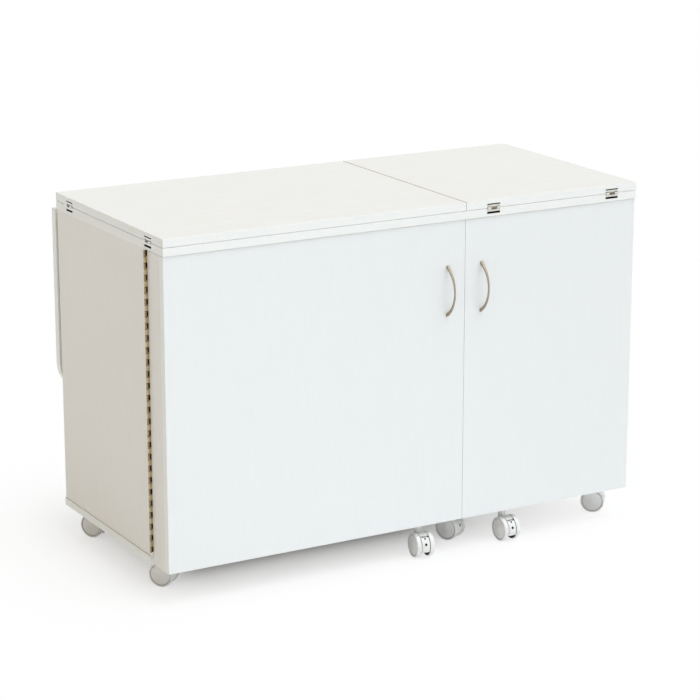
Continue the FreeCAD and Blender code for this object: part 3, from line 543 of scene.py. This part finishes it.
def castor_place(castor):
    """The matrix of a castor: its x axis is the axle, its origin the middle of the axle."""
    spin = joints[castor + "_wheel_spin"]
    axle = Vector(spin["axis"]).normalized()
    up = Vector((0, 0, 1))
    turn = Matrix((axle, up.cross(axle), up)).transposed().to_4x4()
    return Matrix.Translation(Vector(spin["pos_m"])) @ turn


for castor in CASTORS:
    wheels = turned(wheel_profile, WHEEL_STEPS, castor)
    for face in wheels.polygons:
        distance = math.hypot(face.center.y, face.center.z) / MM
        outwards = abs(face.center.x) / MM
        # The inner sides are painted near black as shade, the ring grey as its shade, and the discs a touch
        # lighter as light.
        if outwards < WHEEL_INNER + 0.2:
            face.material_index = INSIDE
        elif outwards > SIDE_START:
            in_groove = GROOVE[0] < distance < GROOVE[1] and outwards < GROOVE_END
            on_disc = distance < DISC_RADIUS
            face.material_index = RING if in_groove else DISC if on_disc else TREAD
    wheels.transform(castor_place(castor))
    finish_piece(castor + "_twin_wheels", wheels, castor + "_wheels",
                 (nylon, nylon_disc_painted_lighter, groove_painted_shade, castor_painted_shade_and_pins), [castor + "_castor_wheels"])
print(len(CASTORS), "pairs of wheels,", len(wheels.polygons), "faces each")

# %% [markdown]
# ## Castor housings
#
# Between the wheels sits the housing: a disc with a flat foot and a short neck that turns on
# the stem.  The disc and the neck are turned shapes with softened edges, joined by a Boolean.
# The foot is cut level, and the bore is wider than the axle, so that the wheels turn freely.
#
# On the two door castors a brake pedal closes the front.  Their housings get room for the
# pedal's plate, a slot for its arm, a round room for its hub, and a deeper hollow low down
# where the brake shoe moves.  The other castors have a closed front with two round holes, a
# small one above a larger one, and a dark pin deep in each.  `radial` moves a turned shape out
# to the curved front, and `with_pins` sinks the holes and sets the pins.

# %% Castor housings
TRAIL = 18.0
WEB_RADIUS = 26.7
AXLE_BORE = 3.3
# Cuts into the front: angles count downwards from it, and the last two pass through the rim
# and through both sides.
ROOM_START, ROOM_SWEEP, ROOM_INNER = -60, 116, 21.0
SLOT_INNER, SLOT_OUTER, SLOT_HALF_WIDTH = 3.0, 22, 3.5
SHOE_START, SHOE_SWEEP, SHOE_INNER = 26, 42, 20.0
HUB_ROOM = 7.6
PAST_RIM, PAST_SIDES = 30, 20
# Each pin's angle and radius, the depth of its hole, and the gap around it.
PINS = ((-43, 2.2), (-14, 3.1))
HOLE_DEPTH, PIN_GAP, PIN_STEPS = 1.2, 0.05, 20
NECK_TOP = 69.6 - WHEEL_RADIUS
FOOT = 9.0 - WHEEL_RADIUS
web_profile = [(-9.9, 0), (-9.9, 17.0), (-9.6, 18.0), (-9.6, 25.7), (-9.3, 26.4),
               (-8.6, 26.7), (8.6, 26.7), (9.3, 26.4), (9.6, 25.7), (9.6, 18.0),
               (9.9, 17.0), (9.9, 0)]
neck_profile = [(4.0, 0), (4.0, 8.5), (36.5, 8.5), (37.0, 8.2), (37.2, 7.7), (38.6, 7.7),
                (38.8, 8.2), (39.3, 8.5), (42.9, 8.5), (43.4, 8.2), (NECK_TOP, 7.6),
                (NECK_TOP, 0)]
stand_up = Matrix.Rotation(-math.pi / 2, 4, "Y")
to_stem = Matrix.Translation(Vector((0, TRAIL, 0)) * MM)


def pedal_room(inner, outer, start, sweep, half_width, steps=28):
    """A curved block about the axle, its angles measured downwards from the front."""
    rings = []
    for step in range(steps + 1):
        angle = math.radians(start + sweep * step / steps)
        front = Vector((0, -math.cos(angle), -math.sin(angle)))
        rings.append([(Vector((side * half_width, 0, 0)) + front * radius) * MM
                      for side, radius in ((-1, inner), (1, inner), (1, outer), (-1, outer))])
    return skin(rings, "room")


def radial(mesh, degrees, distance):
    """Moves a shape turned about x out to a curved face, pointing away from the axle."""
    angle = math.radians(degrees)
    outwards = Vector((0, -math.cos(angle), -math.sin(angle)))
    turn = Vector((1, 0, 0)).rotation_difference(outwards).to_matrix().to_4x4()
    mesh.transform(Matrix.Translation(outwards * distance * MM) @ turn)
    return mesh


def with_pins(mesh, distance):
    """Sinks two round holes into a curved face and sets a dark pin deep in each."""
    for degrees, radius in PINS:
        sink = turned([(-HOLE_DEPTH, 0), (-HOLE_DEPTH, radius), (2, radius), (2, 0)],
                      PIN_STEPS, "sink")
        mesh = combine(mesh, radial(sink, degrees, distance), "DIFFERENCE")
    shape = bmesh.new()
    shape.from_mesh(mesh)
    plastic_faces = len(shape.faces)
    for degrees, radius in PINS:
        pin = turned([(-2.0, 0), (-2.0, radius - PIN_GAP), (-0.4, radius - PIN_GAP),
                      (-0.2, 0.7 * radius), (-0.15, 0)], PIN_STEPS, "pin")
        shape.from_mesh(radial(pin, degrees, distance))
    for index, face in enumerate(shape.faces):
        face.material_index = int(index >= plastic_faces)
    shape.to_mesh(mesh)
    shape.free()
    return mesh


for castor in CASTORS:
    web = turned(web_profile, WHEEL_STEPS, "web")
    neck = turned(neck_profile, 48, "neck")
    neck.transform(to_stem @ stand_up)
    housing = combine(web, neck, "UNION")
    cuts = [slab((-PAST_SIDES, -40, -40), (PAST_SIDES, 40, FOOT)), rod(12, AXLE_BORE)]
    if castor.endswith("door"):
        cuts += [pedal_room(ROOM_INNER, PAST_RIM, ROOM_START, ROOM_SWEEP, PAST_SIDES),
                 pedal_room(SLOT_INNER, SLOT_OUTER, ROOM_START, ROOM_SWEEP, SLOT_HALF_WIDTH),
                 rod(SLOT_HALF_WIDTH, HUB_ROOM),
                 pedal_room(SHOE_INNER, PAST_RIM, SHOE_START, SHOE_SWEEP, PAST_SIDES)]
    for cut in cuts:
        housing = combine(housing, cut, "DIFFERENCE")
    # On the door castors the walls of the shoe's hollow are painted near black, as the shade inside it.
    if castor.endswith("door"):
        for face in housing.polygons:
            middle = face.center / MM
            angle = math.degrees(math.atan2(-middle.z, -middle.y))
            inside = SHOE_START - 6 < angle < SHOE_START + SHOE_SWEEP + 12
            hollow = math.hypot(middle.y, middle.z) < 26.4 and abs(face.normal.x) < 0.5
            face.material_index = int(inside and hollow and middle.y < 0)
    else:
        housing = with_pins(housing, WEB_RADIUS)
    housing.transform(castor_place(castor))
    finish_piece(castor + "_housing", housing, castor + "_castor",
                 (nylon, castor_painted_shade_and_pins), [castor + "_castor_housing"])
print("housings made, the last has", len(housing.polygons), "faces")

# %% [markdown]
# ## Brake pedals
#
# The pedal is a curved plate that swings about the axle on a short arm with a round hub.  The
# plate is the same kind of curved block as the room that was cut for it, a little smaller all
# round, and its edges are rounded with a Bevel modifier.  It carries the same two pins as the
# closed fronts.

# %% Brake pedals
PEDAL_INNER, PEDAL_OUTER, PEDAL_HALF_WIDTH = 21.5, 26.7, 9.2
PEDAL_START, PEDAL_SWEEP = -50, 78
ARM_INNER, ARM_START, ARM_SWEEP, ARM_HALF_WIDTH = 2.0, -28, 34, 3.0
HUB_HALF_WIDTH, HUB_RADIUS, HUB_BORE = 3, 7, 3.1
EDGE_ROUNDING = 0.8


def softened(mesh, width, segments=2):
    """The mesh with its sharp edges rounded by a Bevel modifier."""
    holder = bpy.data.objects.new("holder", mesh)
    bpy.context.scene.collection.objects.link(holder)
    bevel = holder.modifiers.new("soften", "BEVEL")
    bevel.width = width * MM
    bevel.segments = segments
    bevel.limit_method = "ANGLE"
    bevel.angle_limit = math.radians(35)
    evaluated = holder.evaluated_get(bpy.context.evaluated_depsgraph_get())
    result = bpy.data.meshes.new_from_object(evaluated)
    bpy.data.objects.remove(holder)
    return result


for castor in ("left_door", "right_door"):
    plate = softened(pedal_room(PEDAL_INNER, PEDAL_OUTER, PEDAL_START, PEDAL_SWEEP,
                                PEDAL_HALF_WIDTH), EDGE_ROUNDING)
    arm = pedal_room(ARM_INNER, PEDAL_INNER + 1, ARM_START, ARM_SWEEP, ARM_HALF_WIDTH, steps=8)
    pedal = combine(plate, arm, "UNION")
    pedal = combine(pedal, rod(HUB_HALF_WIDTH, HUB_RADIUS), "UNION")
    pedal = combine(pedal, rod(HUB_HALF_WIDTH + 2, HUB_BORE), "DIFFERENCE")
    pedal = with_pins(pedal, PEDAL_OUTER)
    pedal.transform(castor_place(castor))
    finish_piece(castor + "_pedal", pedal, castor + "_brake",
                 (nylon, castor_painted_shade_and_pins), [castor + "_castor_pedal"])
print("pedals made, the last has", len(pedal.polygons), "faces")

# %% [markdown]
# ## Bow handles
#
# Each handle is a slim crescent between two arcs: the outer one reaches 32 mm from the door,
# the inner one a little less, and both end in feet on the door's face.  Walking along both
# arcs in step and putting a rounded section between them gives the whole bow.  The section
# is a superellipse, which is a rectangle with generously rounded corners, as a casting has
# them, and it is narrow at the crown and wider at the feet.

# %% Bow handles
OUTER_HALF, OUTER_REACH = 57.0, 32.0
INNER_HALF, INNER_REACH = 48.5, 29.4
CROWN_HALF_WIDTH, FOOT_HALF_WIDTH = 2.0, 3.5
BOW_STEPS, SECTION_STEPS = 48, 28


def arc_point(half, reach, share):
    """A point (out from the door, up from the middle) on an arc; share runs from -1 to 1."""
    radius = (half * half + reach * reach) / (2 * reach)
    end = math.asin(half / radius)
    if reach > radius:
        end = math.pi - end
    angle = share * end
    return Vector((reach - radius + radius * math.cos(angle), radius * math.sin(angle)))


def section_corner(angle, power=3.2):
    """A point of a superellipse with half axes of 1."""
    values = (math.cos(angle), math.sin(angle))
    return [math.copysign(abs(value) ** (2 / power), value) for value in values]


for side in ("left", "right"):
    low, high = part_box(side + "_handle")
    line = (low.x + high.x) / 2
    middle = (low.z + high.z) / 2
    face = low.y + OUTER_REACH * MM
    rings = []
    for step in range(BOW_STEPS + 1):
        share = -1 + 2 * step / BOW_STEPS
        outer = arc_point(OUTER_HALF, OUTER_REACH, share)
        inner = arc_point(INNER_HALF, INNER_REACH, share)
        centre, half = (outer + inner) / 2, (outer - inner) / 2
        flare = (FOOT_HALF_WIDTH - CROWN_HALF_WIDTH) * (centre.y / OUTER_HALF) ** 2
        half_width = CROWN_HALF_WIDTH + flare
        ring = []
        for corner in range(SECTION_STEPS):
            sideways, through = section_corner(2 * math.pi * corner / SECTION_STEPS)
            point = centre + half * through
            ring.append(Vector((line + sideways * half_width * MM,
                                face - point.x * MM, middle + point.y * MM)))
        rings.append(ring)
    finish_piece(side + "_bow_handle", skin(rings, "bow"), side + "_door",
                 (satin_nickel,), [side + "_handle"], sharp=50)
print("handles", round((high.z - low.z) / MM, 1), "mm long")

# %% [markdown]
# ## Screws, once drawn and often placed
#
# Countersunk screws hold the long door hinges and the drop leaf's hinges, and pan-head
# screws hold the handles and the lift.  One head is drawn with its cross recess.  A Geometry
# Nodes tree then copies it to every point of a small mesh, turned to face outwards, each with
# its own chance twist, because nobody lines up the slots of fifty screws.  The tree ends by
# making the copies real and giving them their material.

# %% Screw heads
def cross_recess(half_long, half_wide, depth):
    """A cross-shaped cutting tool that reaches down to depth below the screwed-on surface."""
    tools = [slab((-depth, -half_long, -half_wide), (2, half_long, half_wide)),
             slab((-depth, -half_wide, -half_long), (2, half_wide, half_long))]
    return combine(*tools, "UNION")


flat_head = turned([(-0.8, 0), (-0.8, 2.6), (0.05, 3.4), (0.2, 3.4), (0.26, 3.2), (0.3, 0)],
                   24, "flat_head")
pan_head = turned([(-0.3, 0), (-0.3, 3.9), (0.7, 3.9), (1.5, 3.5), (2.0, 2.6), (2.2, 1.2),
                   (2.25, 0)], 24, "pan_head")
screw_head = {}
for name, head, recess in (("flat", flat_head, (1.9, 0.42, 0.5)),
                           ("pan", pan_head, (2.1, 0.5, -0.9))):
    result = combine(head, cross_recess(*recess), "DIFFERENCE")
    holder = bpy.data.objects.new(name + "_screw_head", result)
    result.shade_smooth()
    result.set_sharp_from_angle(angle=math.radians(30))
    screw_head[name] = holder
    print(name, "head has", len(result.polygons), "faces")

# %% The tree that places them
def screw_tree():
    """Copies a head to every point, its x axis along Facing, with a seeded twist."""
    tree = bpy.data.node_groups.new("screws_on_points", "GeometryNodeTree")
    tree.interface.new_socket("Points", in_out="INPUT", socket_type="NodeSocketGeometry")
    for label, kind in (("Head", "NodeSocketObject"), ("Facing", "NodeSocketVector"),
                        ("Finish", "NodeSocketMaterial"), ("Seed", "NodeSocketInt")):
        tree.interface.new_socket(label, in_out="INPUT", socket_type=kind)
    tree.interface.new_socket("Screws", in_out="OUTPUT", socket_type="NodeSocketGeometry")
    given = add(tree, "NodeGroupInput")
    head = add(tree, "GeometryNodeObjectInfo", {"Object": given.outputs["Head"]})
    facing = add(tree, "FunctionNodeAlignRotationToVector", {
        "Vector": given.outputs["Facing"]}, axis="X")
    chance = add(tree, "FunctionNodeRandomValue", {
        2: 0.0, 3: math.pi, "Seed": given.outputs["Seed"]}, data_type="FLOAT")
    twist = add(tree, "FunctionNodeAxisAngleToRotation", {
        "Axis": (1, 0, 0), "Angle": chance.outputs[1]})
    turned_head = add(tree, "FunctionNodeRotateRotation", {
        "Rotation": facing.outputs["Rotation"], "Rotate By": twist.outputs["Rotation"]},
        rotation_space="LOCAL")
    copies = add(tree, "GeometryNodeInstanceOnPoints", {
        "Points": given.outputs["Points"], "Instance": head.outputs["Geometry"],
        "Rotation": turned_head.outputs["Rotation"]})
    real = add(tree, "GeometryNodeRealizeInstances", {"Geometry": copies.outputs["Instances"]})
    coated = add(tree, "GeometryNodeSetMaterial", {
        "Geometry": real.outputs["Geometry"], "Material": given.outputs["Finish"]})
    add(tree, "NodeGroupOutput", {"Screws": coated.outputs["Geometry"]})
    return tree


screws_on_points = screw_tree()
input_id = {item.name: item.identifier for item in screws_on_points.interface.items_tree
            if item.in_out == "INPUT"}


def place_screws(name, body, kind, places, facing, seed, finish=zinc_steel):
    """Screw heads at points in metres, all facing one way, as one piece."""
    points = bpy.data.meshes.new("points")
    points.from_pydata([tuple(place) for place in places], [], [])
    holder = bpy.data.objects.new("holder", points)
    bpy.context.scene.collection.objects.link(holder)
    maker = holder.modifiers.new("screws", "NODES")
    maker.node_group = screws_on_points
    maker[input_id["Head"]] = screw_head[kind]
    maker[input_id["Facing"]] = facing
    maker[input_id["Finish"]] = finish
    maker[input_id["Seed"]] = seed
    evaluated = holder.evaluated_get(bpy.context.evaluated_depsgraph_get())
    result = bpy.data.meshes.new_from_object(evaluated)
    holder.modifiers.remove(maker)
    bpy.data.objects.remove(holder)
    return finish_piece(name, result, body, sharp=30)


# %% [markdown]
# ## Where the screws go
#
# A long hinge has a screw about every 50 mm on each of its leaves, and the two leaves face
# each other when the door is shut.  The drop leaf's hinges have four screws on each plate,
# the handles two screws inside the door, and the lift has screws under its brackets and in
# its rails.

# %% Place the screws
SCREW_PITCH = 50.8 * MM
SCREW_LINE = 8.0 * MM
for seed, side in enumerate(("left", "right")):
    for half, body in (("moving", side + "_door"), ("fixed", "cabinet")):
        low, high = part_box("%s_long_hinge_%s" % (side, half))
        line = high.x - SCREW_LINE if side == "left" else low.x + SCREW_LINE
        plate_face = low.y + LEAF_THICKNESS if half == "moving" else high.y - LEAF_THICKNESS
        count = int((high.z - low.z) / SCREW_PITCH)
        start = (low.z + high.z - (count - 1) * SCREW_PITCH) / 2
        places = [(line, plate_face, start + index * SCREW_PITCH) for index in range(count)]
        facing = (0, 1, 0) if half == "moving" else (0, -1, 0)
        place_screws("%s_long_hinge_%s_screws" % (side, half), body, "flat", places, facing,
                     seed + 1, tarnished_brass)
        print(side, half, count, "hinge screws on x", round(line, 4), "y", round(plate_face, 4))

# %% Screws of the drop leaf's hinges
REAR_PLATE_HALF, REAR_PLATE_THICKNESS = 35.0, 1.2
REAR_SCREW_SIDE, REAR_SCREW_HEIGHTS = 24.0, (9, 26)
for half, body, facing in (("fixed", "cabinet", (0, 1, 0)), ("moving", "rear_leaf", (0, -1, 0))):
    hinge = nodes["rear_leaf_hinges_" + half]
    low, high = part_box(hinge.name)
    lines = (low.x + REAR_PLATE_HALF * MM, (low.x + high.x) / 2, high.x - REAR_PLATE_HALF * MM)
    plate_face = (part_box("rear_leaf_hinges_fixed")[0].y + REAR_PLATE_THICKNESS * MM
                  if half == "fixed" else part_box("rear_leaf")[0].y - REAR_PLATE_THICKNESS * MM)
    places = [(line + side * REAR_SCREW_SIDE * MM, plate_face, low.z + up * MM)
              for line in lines for side in (-1, 1) for up in REAR_SCREW_HEIGHTS]
    place_screws("rear_hinge_%s_screws" % half, body, "flat", places, facing, 7)
    print("rear hinges,", half, len(places), "screws")

# %% Screws of the handles and the lift
HANDLE_SCREW_HALF_PITCH = 51.0
PAN_SEAT = 0.3 * MM                  # a pan head's underside lies this far below its origin
ARM_THICKNESS = 4 * MM
BRACKET_SCREW_IN, BRACKET_SCREW_HALF_PITCH = 80 * MM, 20 * MM
RAIL_WALL = 2.0 * MM
RAIL_SCREW_HEIGHTS = (40, 130, 220)
for seed, side in enumerate(("left", "right")):
    low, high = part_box(side + "_handle")
    inner_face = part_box(side + "_door_panel")[1].y
    places = [((low.x + high.x) / 2, inner_face + PAN_SEAT,
               (low.z + high.z) / 2 + sign * HANDLE_SCREW_HALF_PITCH * MM) for sign in (-1, 1)]
    place_screws(side + "_handle_screws", side + "_door", "pan", places, (0, 1, 0), seed + 11)

low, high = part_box("lift_carriages")
arm_under = high.z - ARM_THICKNESS
lift_line = (low.y + high.y) / 2
places = [(x, lift_line + side * BRACKET_SCREW_HALF_PITCH, arm_under - PAN_SEAT)
          for x in (low.x + BRACKET_SCREW_IN, high.x - BRACKET_SCREW_IN) for side in (-1, 1)]
place_screws("bracket_screws", "lift", "pan", places, (0, 0, -1), 15)

low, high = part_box("lift_rails")
for side, web, facing in (("left", low.x + RAIL_WALL, (1, 0, 0)),
                          ("right", high.x - RAIL_WALL, (-1, 0, 0))):
    places = [(web, lift_line, low.z + up * MM) for up in RAIL_SCREW_HEIGHTS]
    place_screws(side + "_rail_screws", "cabinet", "flat", places, facing, 17)
print("handle, bracket and rail screws placed")

# %% [markdown]
# ## Floor, light and background
#
# The cabinet stands on a pale floor that fades into a white background.  Within a box under
# the cabinet the floor is an ordinary matt surface and takes its shadow.  Beyond that box the
# paint's share falls off exponentially and its colour gives way to plain white, but only for
# what the camera and reflections see, so the floor never lights the cabinet more than a real
# one would.  The distance counts less on the sides where the shadow reaches further.
#
# A large soft sun stands high in front and a little to the right.  The world fills in from
# all sides, weaker and warmer from the left, so that the left side is a deeper tone than the
# doors.  One faint softbox low in front lifts the foot of the doors and the castors.

# %% Floor
FLOOR_HALF = 40.0
FADE_LENGTH = 0.12
# The corners of the box, and how much a metre beyond each of them counts, along x and y.
SHADE_LOW, SHADE_HIGH = (-0.42, -0.07, 0), (0.05, 0.24, 0)
REACH_LOW, REACH_HIGH = (0.9, 1.0, 0), (0.36, 0.72, 0)
FLOOR_PAINT = "#F6F6F6"


def seen_directly(tree):
    """1 for rays of the camera, of reflections and through glass, and 0 for the others."""
    path = add(tree, "ShaderNodeLightPath")
    either = add(tree, "ShaderNodeMath", {
        0: path.outputs["Is Camera Ray"], 1: path.outputs["Is Glossy Ray"]},
        operation="MAXIMUM")
    return add(tree, "ShaderNodeMath", {
        0: either.outputs[0], 1: path.outputs["Is Transmission Ray"]},
        operation="MAXIMUM").outputs[0]


def floor_material():
    """Matt floor paint that gives way to white away from the cabinet."""
    material = bpy.data.materials.new("matt_white_floor_paint")
    material.use_nodes = True
    tree = material.node_tree
    tree.nodes.clear()
    place = add(tree, "ShaderNodeTexCoord")
    spot = place.outputs["Object"]
    reaches = []
    for ends, reach in (((SHADE_LOW, spot), REACH_LOW), ((spot, SHADE_HIGH), REACH_HIGH)):
        beyond = add(tree, "ShaderNodeVectorMath", dict(enumerate(ends)), operation="SUBTRACT")
        outside = add(tree, "ShaderNodeVectorMath", {0: beyond.outputs[0], 1: (0, 0, 0)},
                      operation="MAXIMUM")
        reaches.append(add(tree, "ShaderNodeVectorMath", {0: outside.outputs[0], 1: reach},
                           operation="MULTIPLY"))
    both_ways = add(tree, "ShaderNodeVectorMath", {
        0: reaches[0].outputs[0], 1: reaches[1].outputs[0]}, operation="ADD")
    distance = add(tree, "ShaderNodeVectorMath", {0: both_ways.outputs[0]}, operation="LENGTH")
    lengths = add(tree, "ShaderNodeMath", {0: distance.outputs["Value"], 1: -1 / FADE_LENGTH},
                  operation="MULTIPLY")
    floor_left = add(tree, "ShaderNodeMath", {0: lengths.outputs[0]}, operation="EXPONENT")
    fade = add(tree, "ShaderNodeMath", {0: 1.0, 1: floor_left.outputs[0]}, operation="SUBTRACT")
    share = add(tree, "ShaderNodeMath", {0: fade.outputs[0], 1: seen_directly(tree)},
                operation="MULTIPLY")
    paint = add(tree, "ShaderNodeBsdfDiffuse", {"Color": colour(FLOOR_PAINT)})
    white = add(tree, "ShaderNodeEmission", {"Strength": 1.0})
    both = add(tree, "ShaderNodeMixShader", {
        0: share.outputs[0], 1: paint.outputs["BSDF"], 2: white.outputs["Emission"]})
    add(tree, "ShaderNodeOutputMaterial", {"Surface": both.outputs["Shader"]})
    return material


floor_mesh = bpy.data.meshes.new("floor")
floor_mesh.from_pydata([(-FLOOR_HALF, -FLOOR_HALF, 0), (FLOOR_HALF, -FLOOR_HALF, 0),
                        (FLOOR_HALF, FLOOR_HALF, 0), (-FLOOR_HALF, FLOOR_HALF, 0)], [],
                       [(0, 1, 2, 3)])
floor_mesh.materials.append(floor_material())
floor = bpy.data.objects.new("floor", floor_mesh)
bpy.context.scene.collection.objects.link(floor)
print("floor", 2 * FLOOR_HALF, "m wide, fading over", FADE_LENGTH, "m")

# %% World and sun
FILL_LEFT = (0.39, 0.318, 0.195, 1.0)
FILL_RIGHT = (0.88, 0.94, 1.0, 1.0)
SUN_STRENGTH = 1.35
SUN_COLOUR = (0.94, 0.98, 1.03)
SUN_FROM = Vector((0.161, -0.391, 0.906))
SUN_SPREAD = 35
# Name, power in watts, colour, place, the point it faces, and width and height in metres.
SOFTBOXES = [
    ("front_softbox", 1.9, (0.92, 0.98, 1.0), (-0.6, -1.9, 0.3), (0.1, 0.0, 0.3), (1.2, 0.5)),
]

world = bpy.data.worlds.new("studio")
world.use_nodes = True
world.node_tree.nodes.clear()
direction = add(world.node_tree, "ShaderNodeTexCoord")
parts = add(world.node_tree, "ShaderNodeSeparateXYZ", {
    "Vector": direction.outputs["Generated"]})
side = add(world.node_tree, "ShaderNodeMapRange", {
    "Value": parts.outputs["X"], "From Min": -1.0, "From Max": 1.0})
fill_tint = add(world.node_tree, "ShaderNodeMix", {
    0: side.outputs["Result"], 6: FILL_LEFT, 7: FILL_RIGHT}, data_type="RGBA")
fill = add(world.node_tree, "ShaderNodeBackground", {
    "Color": fill_tint.outputs[2], "Strength": 1.0})
backdrop = add(world.node_tree, "ShaderNodeBackground", {
    "Color": (1, 1, 1, 1), "Strength": 1.0})
chosen = add(world.node_tree, "ShaderNodeMixShader", {
    0: seen_directly(world.node_tree), 1: fill.outputs["Background"],
    2: backdrop.outputs["Background"]})
add(world.node_tree, "ShaderNodeOutputWorld", {"Surface": chosen.outputs["Shader"]})
bpy.context.scene.world = world

sun = bpy.data.objects.new("sun", bpy.data.lights.new("sun", "SUN"))
sun.data.energy = SUN_STRENGTH
sun.data.color = SUN_COLOUR
sun.data.angle = math.radians(SUN_SPREAD)
sun.rotation_euler = SUN_FROM.to_track_quat("Z", "Y").to_euler()
bpy.context.scene.collection.objects.link(sun)

for name, power, tint, place, target, (width, height) in SOFTBOXES:
    softbox = bpy.data.objects.new(name, bpy.data.lights.new(name, "AREA"))
    softbox.data.energy = power
    softbox.data.color = tint
    softbox.data.shape = "RECTANGLE"
    softbox.data.size = width
    softbox.data.size_y = height
    softbox.location = place
    softbox.rotation_euler = (Vector(place) - Vector(target)).to_track_quat("Z", "Y").to_euler()
    softbox.visible_camera = False
    bpy.context.scene.collection.objects.link(softbox)

bpy.context.scene.view_settings.view_transform = "Standard"
print("sun of strength", SUN_STRENGTH, "and", len(SOFTBOXES), "softbox")
